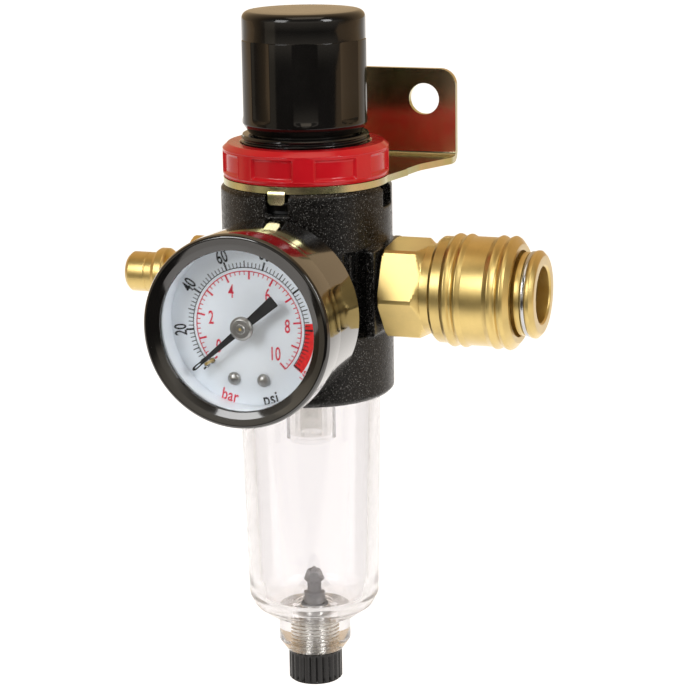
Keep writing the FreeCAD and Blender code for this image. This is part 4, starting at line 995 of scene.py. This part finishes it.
def sector_band(r0, r1, a0, a1, n=90, thick=0.03):
    loop = arc_pts(0, 0, r1, a0, a1, n) + arc_pts(0, 0, r0, a1, a0, n)
    verts, faces = [], []
    m = len(loop)
    k = n + 1
    for h in (-thick / 2, thick / 2):
        verts += [(x, y, h) for x, y in loop]
    for i in range(n):
        a, b, c, d = i, i + 1, m - 2 - i, m - 1 - i
        faces.append((a, b, c, d))
        faces.append((a + m, d + m, c + m, b + m))
    for i in range(m):
        j = (i + 1) % m
        faces.append((i, i + m, j + m, j))
    return verts, faces


def tick(angle, r0, r1, w):
    a = math.radians(angle)
    ux, uy = math.cos(a), math.sin(a)
    px, py = -uy * w / 2, ux * w / 2
    q = [(ux * r0 + px, uy * r0 + py), (ux * r0 - px, uy * r0 - py), (ux * r1 - px, uy * r1 - py), (ux * r1 + px, uy * r1 + py)]
    v = [(x, y, h) for h in (-0.015, 0.015) for x, y in q]
    f = [(0, 1, 2, 3), (7, 6, 5, 4), (0, 4, 5, 1), (1, 5, 6, 2), (2, 6, 7, 3), (3, 7, 4, 0)]
    return v, f


def word(body, size, x, y, rot, squeeze=0.8):
    v, f = text_mesh(body, size, 0.03, squeeze)
    c, s = math.cos(math.radians(rot)), math.sin(math.radians(rot))
    out = [(x + p[0] * c - p[1] * s, y + p[0] * s + p[1] * c, p[2]) for p in v]
    return out, f


red, black, bandp = [], [], []
red.append(sector_band(12.48, 12.70, bar_angle(0), bar_angle(10)))
for i in range(51):
    b = i * 0.2
    major = i % 5 == 0
    red.append(tick(bar_angle(b), 10.75 if major else 11.75, 12.6, 0.42 if major else 0.21))
for b, r in ((0, 9.05), (2, 9.2), (4, 9.1), (6, 9.0), (8, 9.3), (10, 9.1)):
    a = math.radians(bar_angle(b) + {0: -8.0, 2: 1.5, 4: 1.5, 6: -3.0, 8: -4.0, 10: 1.5}[b])
    red.append(word(str(b), 4.3, r * math.cos(a), r * math.sin(a) + {0: 0.35, 2: 0.1, 4: -0.25, 6: -0.2, 8: 0.1, 10: 0.65}[b], 0, 0.62))
red.append(word("bar", 3.9, -4.85, -16.15, -12, 0.76))
BAR_PSI = 0.0689476
black.append(sector_band(13.34, 13.52, bar_angle(0), bar_angle(9.66)))
for i in range(71):
    p = 2 * i
    a = bar_angle(p * BAR_PSI)
    major, mid = p % 20 == 0, p % 10 == 0
    black.append(tick(a, 13.4, 15.35 if major else 14.95 if mid else 14.6, 0.42 if major else 0.24 if mid else 0.18))
for p in (20, 40, 60, 80, 100, 120):
    a = bar_angle(p * BAR_PSI)
    if p == 80:
        a += 0.8
    ar = math.radians(a)
    r = 16.75 if p < 80 else 17.2
    black.append(word(str(p), 4.2, r * math.cos(ar), r * math.sin(ar), a - 90, 0.64))
black.append(word("psi", 4.1, 5.0, -16.75, 14, 0.80))
bandp.append(sector_band(13.55, 15.9, bar_angle(8.05), bar_angle(9.70)))
a140 = bar_angle(140 * BAR_PSI)
red.append(word("140", 2.7, 17.0 * math.cos(math.radians(a140 - 1)), 17.0 * math.sin(math.radians(a140 - 1)), a140 + 90, 0.62))
for nm, data, mt, lift in (("dial_band", bandp, "ink_band", 0.0), ("dial_marks_red", red, "ink_red", 0.012), ("dial_marks_black", black, "ink_black", 0.030)):
    v, f = join(data)
    make(nm, to_dial(v, lift), f, mt, "regulator", smooth=False)

# pointer: blade with an open loop at its tip, squared tail, turned hub
PA = math.radians(220.5)
blade = [(2.0, 0.78), (13.2, 0.40), (14.5, 0.46), (15.3, 0.42), (15.7, 0.22), (15.8, 0.0), (15.7, -0.22), (15.3, -0.42), (14.5, -0.46), (13.2, -0.40), (2.0, -0.78),
         (-2.0, -0.92), (-10.0, -1.34), (-10.2, -1.24), (-10.2, 1.24), (-10.0, 1.34), (-2.0, 0.92)]
eye = [(13.9 + 1.05 * math.cos(a), 0.17 * math.sin(a)) for a in [2 * math.pi * k / 16 for k in range(16)]]
pv, pf = flat_mesh([blade, [(x + 0.3, y) for x, y in eye]], 0.30)
pv = [(x * math.cos(PA) - y * math.sin(PA), -42.15 - h, GZ + x * math.sin(PA) + y * math.cos(PA)) for x, y, h in pv]
ptr = make("pointer_blade", pv, pf, "pointer_black", "pointer", ("pointer",), sharp=30, merge=1e-4)
pb = ptr.modifiers.new("edge", "BEVEL")
pb.width = 0.05 * MM
pb.segments = 2
pb.limit_method = "ANGLE"
pb.angle_limit = math.radians(50)
hub = rounded([(0.34, -43.3, 0.04), (0.95, -43.3, 0.08), (1.1, -43.08, 0.1), (2.1, -43.1, 0.3), (2.68, -42.7, 0.3), (2.68, -42.0, 0.15), (2.5, -41.75, 0.1), (0.66, -41.75), (0.66, -43.26), (0.34, -43.26)], 4)
lathe("pointer_hub", hub, "satin_steel", "pointer", "Y", (GX, GZ), seg=72, sharp=40)

# dial screws, domed heads with their shanks
parts = []
for sx in (-3.5, 3.5):
    dome = [(0, -39.75)] + [(1.5 * math.sin(math.radians(a)), -38.75 - 1.0 * math.cos(math.radians(a))) for a in range(8, 90, 9)] + [(1.5, -38.72), (1.42, -38.62), (0.65, -38.62), (0.65, -37.0), (0, -37.0)]
    parts.append(lathe_data(dome, "Y", (sx, GZ - 12.4), 48))
v, f = join(parts)
make("dial_screw_heads", v, f, "satin_steel", "regulator", ("dial_screws",), sharp=50)
# small wire eyelets of the stop pin
pin = []
for cx, cz_, rr in ((-8.6, GZ - 8.51, 0.62), (-9.9, GZ - 9.6, 0.5)):
    loop = [(cx + rr * math.cos(2 * math.pi * k / 28), -38.95, cz_ + rr * math.sin(2 * math.pi * k / 28)) for k in range(28)]
    pin.append(tube_path(loop, 0.2, 10, closed=True))
v, f = join(pin)
make("stop_pin_eyelets", v, f, "steel", "regulator", sharp=60)

# ---------------------------------------------------------------- springs
for node, joint, axis, anchor, keep in (
    ("adjusting_spring", "spring_seat_travel", (0, 0, 1), (0, 0, 21.45), 0.707),
    ("valve_spring", "diaphragm_travel", (0, 0, 1), (0, 0, -14.4), 0.856),
    ("sleeve_spring", "sleeve_pull", (1, 0, 0), (34.5, 0, 0), 0.571),
    ("poppet_spring", "coupler_valve_travel", (1, 0, 0), (27.05, 0, 0), 0.518),
):
    s_ob = copy_cad(node, node + "_coil", "spring_steel", 40)
    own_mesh(s_ob)
d_ob = copy_cad("diaphragm", "diaphragm_web", "rubber", 40)
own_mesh(d_ob)

# ---------------------------------------------------------------- studio
lo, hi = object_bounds()
# The floor glows: painted light. Its emission is white along the camera's line of sight, turns grey then warm brown
# towards the sides, and is weaker close to the object, standing in for studio reflections and bounce light.
fm = Mat("glowing_floor")
fcol = fm.ramp(fm.noise(3.0, 2.0, 0.5), [(0.3, (0.44, 0.44, 0.44)), (0.7, (0.47, 0.47, 0.47))])
fb = fm.bsdf(fcol, 0.9, 0.0)
ftc = fm.coords((1, 1, 1))
fsep = fm.node("ShaderNodeSeparateXYZ")
fm.link(ftc, fsep.inputs[0])


def fmath(op, a, b=None):
    n = fm.node("ShaderNodeMath")
    n.operation = op
    for i, v in enumerate((a, b)):
        if v is None:
            continue
        if isinstance(v, (int, float)):
            n.inputs[i].default_value = v
        else:
            fm.link(v, n.inputs[i])
    return n.outputs[0]


lat = fmath("ABSOLUTE", fmath("ADD", fmath("MULTIPLY", fsep.outputs["X"], 0.942), fmath("MULTIPLY", fsep.outputs["Y"], 0.335)))
far = fmath("ADD", fmath("ADD", fmath("MULTIPLY", fsep.outputs["X"], -0.335), fmath("MULTIPLY", fsep.outputs["Y"], 0.942)), 0.57)
ratio = fmath("DIVIDE", lat, fmath("MAXIMUM", far, 0.05))
fdist = fm.node("ShaderNodeVectorMath", operation="LENGTH")
fm.link(ftc, fdist.inputs[0])
floor_glow_blend = fm.remap(fdist.outputs["Value"], 0.0, 1.0, 0.8, 1.5)
# painted glow colour: white ahead of the camera, warm brown at the sides; strength dimmer near the object
fm.link(fm.mix(floor_glow_blend, fm.ramp(fmath("MULTIPLY", ratio, 0.5), [(0.13, (1, 1, 1)), (0.19, (0.90, 0.90, 0.90)), (0.34, (0.56, 0.56, 0.56)), (0.6, (0.70, 0.69, 0.68)), (0.95, (0.80, 0.79, 0.78))]), fm.ramp(fmath("MULTIPLY", ratio, 0.5), [(0.13, (1, 1, 1)), (0.19, (0.90, 0.90, 0.90)), (0.34, (0.50, 0.49, 0.48)), (0.62, (0.60, 0.42, 0.25)), (0.95, (0.56, 0.36, 0.19))])), fb.inputs["Emission Color"])
fm.link(fm.remap(fdist.outputs["Value"], 0.36, 0.95, 0.13, 0.34), fb.inputs["Emission Strength"])
fz = lo.z - 0.12
fme = bpy.data.meshes.new("floor")
fme.from_pydata([(-9, -0.42, fz), (9, -0.42, fz), (9, 14, fz), (-9, 14, fz)], [], [(0, 1, 2, 3)])
floor = bpy.data.objects.new("floor", fme)
fme.materials.append(fm.m)
bpy.context.scene.collection.objects.link(floor)

world = bpy.data.worlds.new("studio")
bpy.context.scene.world = world
world.use_nodes = True
wt = world.node_tree
wt.nodes.clear()
wo = wt.nodes.new("ShaderNodeOutputWorld")
wtc = wt.nodes.new("ShaderNodeTexCoord")
wsep = wt.nodes.new("ShaderNodeSeparateXYZ")
wt.links.new(wtc.outputs["Generated"], wsep.inputs[0])


def wmath(op, a, b=None):
    n = wt.nodes.new("ShaderNodeMath")
    n.operation = op
    for i, v in enumerate((a, b)):
        if v is None:
            continue
        if isinstance(v, (int, float)):
            n.inputs[i].default_value = v
        else:
            wt.links.new(v, n.inputs[i])
    return n.outputs[0]


# darker towards the side the camera stands on, warm and lighter at the sides and behind
toward = wmath("ADD", wmath("MULTIPLY", wsep.outputs["X"], 0.33), wmath("MULTIPLY", wsep.outputs["Y"], -0.94))
wr = wt.nodes.new("ShaderNodeValToRGB")
e = wr.color_ramp.elements
e[0].position, e[0].color = 0.0, (0.80, 0.58, 0.34, 1)
e[1].position, e[1].color = 1.0, (0.020, 0.020, 0.022, 1)
for p_, c_ in ((0.30, (0.72, 0.50, 0.29, 1)), (0.48, (0.34, 0.235, 0.13, 1)), (0.66, (0.10, 0.075, 0.055, 1)), (0.82, (0.030, 0.027, 0.026, 1))):
    q = e.new(p_)
    q.color = c_
wt.links.new(wmath("ADD", wmath("MULTIPLY", toward, 0.5), 0.5), wr.inputs[0])
wf = wt.nodes.new("ShaderNodeValToRGB")
e = wf.color_ramp.elements
e[0].position, e[0].color = 0.40, (0.018, 0.017, 0.017, 1)
e[1].position, e[1].color = 0.72, (0.20, 0.18, 0.155, 1)
for p_, c_ in ((0.455, (0.065, 0.06, 0.052, 1)), (0.50, (0.52, 0.46, 0.38, 1)), (0.60, (0.80, 0.73, 0.62, 1))):
    q = e.new(p_)
    q.color = c_
wt.links.new(wmath("ADD", wmath("MULTIPLY", wsep.outputs["Z"], 0.5), 0.5), wf.inputs[0])
wm2 = wt.nodes.new("ShaderNodeMix")
wm2.data_type = "RGBA"
wfac = wt.nodes.new("ShaderNodeMapRange")
wfac.inputs["From Min"].default_value = 0.05
wfac.inputs["From Max"].default_value = 0.55
wt.links.new(toward, wfac.inputs["Value"])
wt.links.new(wfac.outputs["Result"], wm2.inputs[0])
wt.links.new(wr.outputs["Color"], wm2.inputs[6])
wt.links.new(wf.outputs["Color"], wm2.inputs[7])
bg_l = wt.nodes.new("ShaderNodeBackground")
wt.links.new(wm2.outputs[2], bg_l.inputs["Color"])
bg_l.inputs["Strength"].default_value = 0.85
bg_c = wt.nodes.new("ShaderNodeBackground")
bg_c.inputs["Color"].default_value = (1, 1, 1, 1)
bg_c.inputs["Strength"].default_value = 1.0
wlp = wt.nodes.new("ShaderNodeLightPath")
wmx = wt.nodes.new("ShaderNodeMixShader")
wt.links.new(wlp.outputs["Is Camera Ray"], wmx.inputs[0])
wt.links.new(bg_l.outputs[0], wmx.inputs[1])
wt.links.new(bg_c.outputs[0], wmx.inputs[2])
wt.links.new(wmx.outputs[0], wo.inputs["Surface"])

centre = Vector((OX, OY, OZ))
CAM_AZ = 19.6


def softbox(name, az, el, dist, w, h, power, color=(1, 1, 1), aim=(0, 0, 0)):
    """Azimuth from the camera's side, positive to the right; size in metres."""
    a, e_ = math.radians(CAM_AZ + az), math.radians(el)
    d = Vector((math.sin(a) * math.cos(e_), -math.cos(a) * math.cos(e_), math.sin(e_)))
    ld = bpy.data.lights.new(name, "AREA")
    ld.shape = "RECTANGLE"
    ld.size, ld.size_y = w, h
    ld.energy = power
    ld.color = color
    lb = bpy.data.objects.new(name, ld)
    tgt = centre + Vector(aim)
    lb.location = tgt + d * dist
    lb.rotation_mode = "QUATERNION"
    lb.rotation_quaternion = d.to_track_quat("Z", "Y")
    bpy.context.scene.collection.objects.link(lb)
    return lb


softbox("key_left", -43, 27, 1.1, 0.40, 0.50, 3.4)
softbox("key_right", 47, 28, 1.1, 0.30, 0.46, 3.5)
softbox("low_left", -64, -4, 1.3, 0.50, 0.66, 0.36, (1.0, 0.86, 0.64))
softbox("top_soft", 10, 74, 1.2, 0.9, 0.7, 2.5, (1.0, 0.85, 0.67))

# ---------------------------------------------------------------- camera
cam = bpy.data.cameras.new("camera")
cam.sensor_width = 36.0
cam.lens = 119.76
cam.clip_start, cam.clip_end = 0.01, 100.0
cam_ob = bpy.data.objects.new("camera", cam)
bpy.context.scene.collection.objects.link(cam_ob)
rt, up, fw = Vector((0.9434, 0.3314, -0.0149)), Vector((-0.065, 0.2285, 0.9714)), Vector((-0.3253, 0.9154, -0.2371))
fw.normalize()
rt = (rt - fw * rt.dot(fw)).normalized()
up = rt.cross(fw).normalized()
cam_ob.matrix_world = Matrix((
    (rt.x, up.x, -fw.x, OX + 0.1891297),
    (rt.y, up.y, -fw.y, OY - 0.5036405),
    (rt.z, up.z, -fw.z, OZ + 0.1143514),
    (0, 0, 0, 1),
))
bpy.context.scene.camera = cam_ob
bpy.context.scene.view_settings.view_transform = "Standard"
bpy.context.scene.view_settings.look = "None"

bpy.context.view_layer.update()
